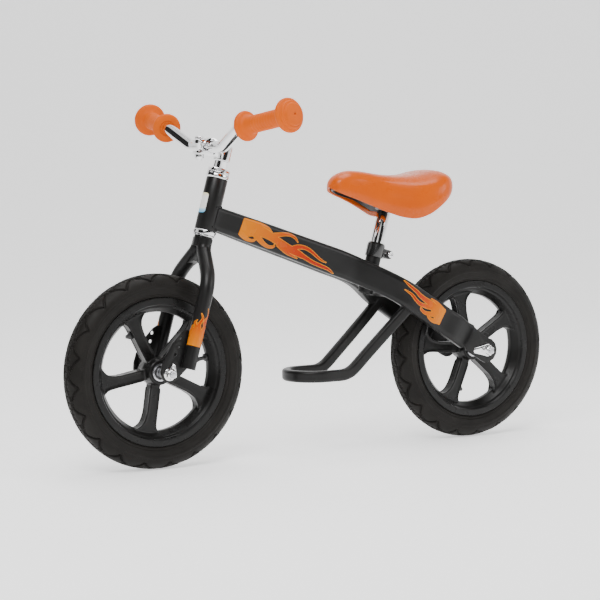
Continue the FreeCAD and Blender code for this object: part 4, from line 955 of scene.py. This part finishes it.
# a floor that sweeps up behind the bike, away from the camera
sweep = [(4.5, 0.0), (-2.2, 0.0)]
for step in range(1, 13):
    turn = math.pi / 2 * step / 12
    sweep.append((-2.2 - 1.6 * math.sin(turn), 1.6 - 1.6 * math.cos(turn)))
sweep.append((-3.8, 5.5))
aim = math.radians(57.76)
verts = []
for back, high in sweep:
    for wide in (-7.0, 7.0):
        verts.append((back * math.cos(aim) - wide * math.sin(aim),
                      back * math.sin(aim) + wide * math.cos(aim), high))
backdrop = raw_object("floor", verts, grid_faces(len(sweep), 2))
smooth_all(backdrop)
backdrop.data.materials.append(floor_mat)

world = bpy.data.worlds.new("studio")
bpy.context.scene.world = world
world.use_nodes = True
tree = world.node_tree
background = tree.nodes["Background"]
coord = tree.nodes.new("ShaderNodeTexCoord")
shade = None
for turn, rise, edges in ((150.0, 12.0, (0.46, 0.50, 0.88, 0.91)),
                          (-20.0, 8.0, (0.58, 0.62, 0.94, 0.965)),
                          (60.0, 14.0, (0.80, 0.83, 0.972, 0.988))):
    dot = tree.nodes.new("ShaderNodeVectorMath")
    dot.operation = "DOT_PRODUCT"
    tree.links.new(coord.outputs["Generated"], dot.inputs[0])
    flat = math.cos(math.radians(rise))
    dot.inputs[1].default_value = (flat * math.cos(math.radians(turn)),
                                   flat * math.sin(math.radians(turn)),
                                   math.sin(math.radians(rise)))
    band = tree.nodes.new("ShaderNodeValToRGB")
    stops = band.color_ramp.elements
    while len(stops) < 4:
        stops.new(0.5)
    for element, spot, tone in zip(stops, edges, (1.0, 0.03, 0.03, 1.0)):
        element.position = spot
        element.color = (tone, tone, tone, 1)
    tree.links.new(dot.outputs["Value"], band.inputs["Fac"])
    if shade is None:
        shade = band.outputs["Color"]
    else:
        mix = tree.nodes.new("ShaderNodeMix")
        mix.data_type = "RGBA"
        mix.blend_type = "MULTIPLY"
        mix.inputs["Factor"].default_value = 1.0
        tree.links.new(shade, mix.inputs[6])
        tree.links.new(band.outputs["Color"], mix.inputs[7])
        shade = mix.outputs[2]
tree.links.new(shade, background.inputs["Color"])
background.inputs["Strength"].default_value = 1.0


def lamp(name, place, target, width, height, power):
    light = bpy.data.lights.new(name, "AREA")
    light.shape = "RECTANGLE"
    light.size = width
    light.size_y = height
    light.energy = power
    obj = bpy.data.objects.new(name, light)
    bpy.context.scene.collection.objects.link(obj)
    obj.location = place
    obj.rotation_euler = (Vector(target) - Vector(place)).to_track_quat("-Z", "Y").to_euler()
    return obj


lamp("key", (1.6, 1.4, 2.4), (0, 0, 0.3), 1.6, 1.0, 60)
lamp("fill", (-1.8, 2.2, 1.4), (0, 0, 0.3), 1.4, 1.4, 25)
lamp("top", (-0.2, 0.0, 2.4), (0, 0, 0.2), 1.8, 1.0, 35)

AZ = math.radians(32.24)
EL = math.radians(3.61)
ROLL = math.radians(-0.45)
distance = 3.17793
target = Vector((0, 0, 0.3))
toward = Vector((math.sin(AZ) * math.cos(EL), math.cos(AZ) * math.cos(EL), math.sin(EL)))
place = target + toward * distance
right = Vector((0, 0, 1)).cross(toward).normalized()
above = toward.cross(right).normalized()
right_r = right * math.cos(ROLL) + above * math.sin(ROLL)
above_r = toward.cross(right_r).normalized()
camera_data = bpy.data.cameras.new("photo_camera")
camera_data.sensor_width = 36.0
camera_data.lens = 1944.16 / 600 * 36.0
camera_data.shift_x = -(317.8 - 300.0) / 600
camera_data.shift_y = (268.83 - 300.0) / 600
camera_data.clip_start = 0.05
camera = bpy.data.objects.new("photo_camera", camera_data)
bpy.context.scene.collection.objects.link(camera)
basis = Matrix((right_r, above_r, toward)).transposed()
camera.matrix_world = Matrix.Translation(place) @ basis.to_4x4()
bpy.context.scene.camera = camera
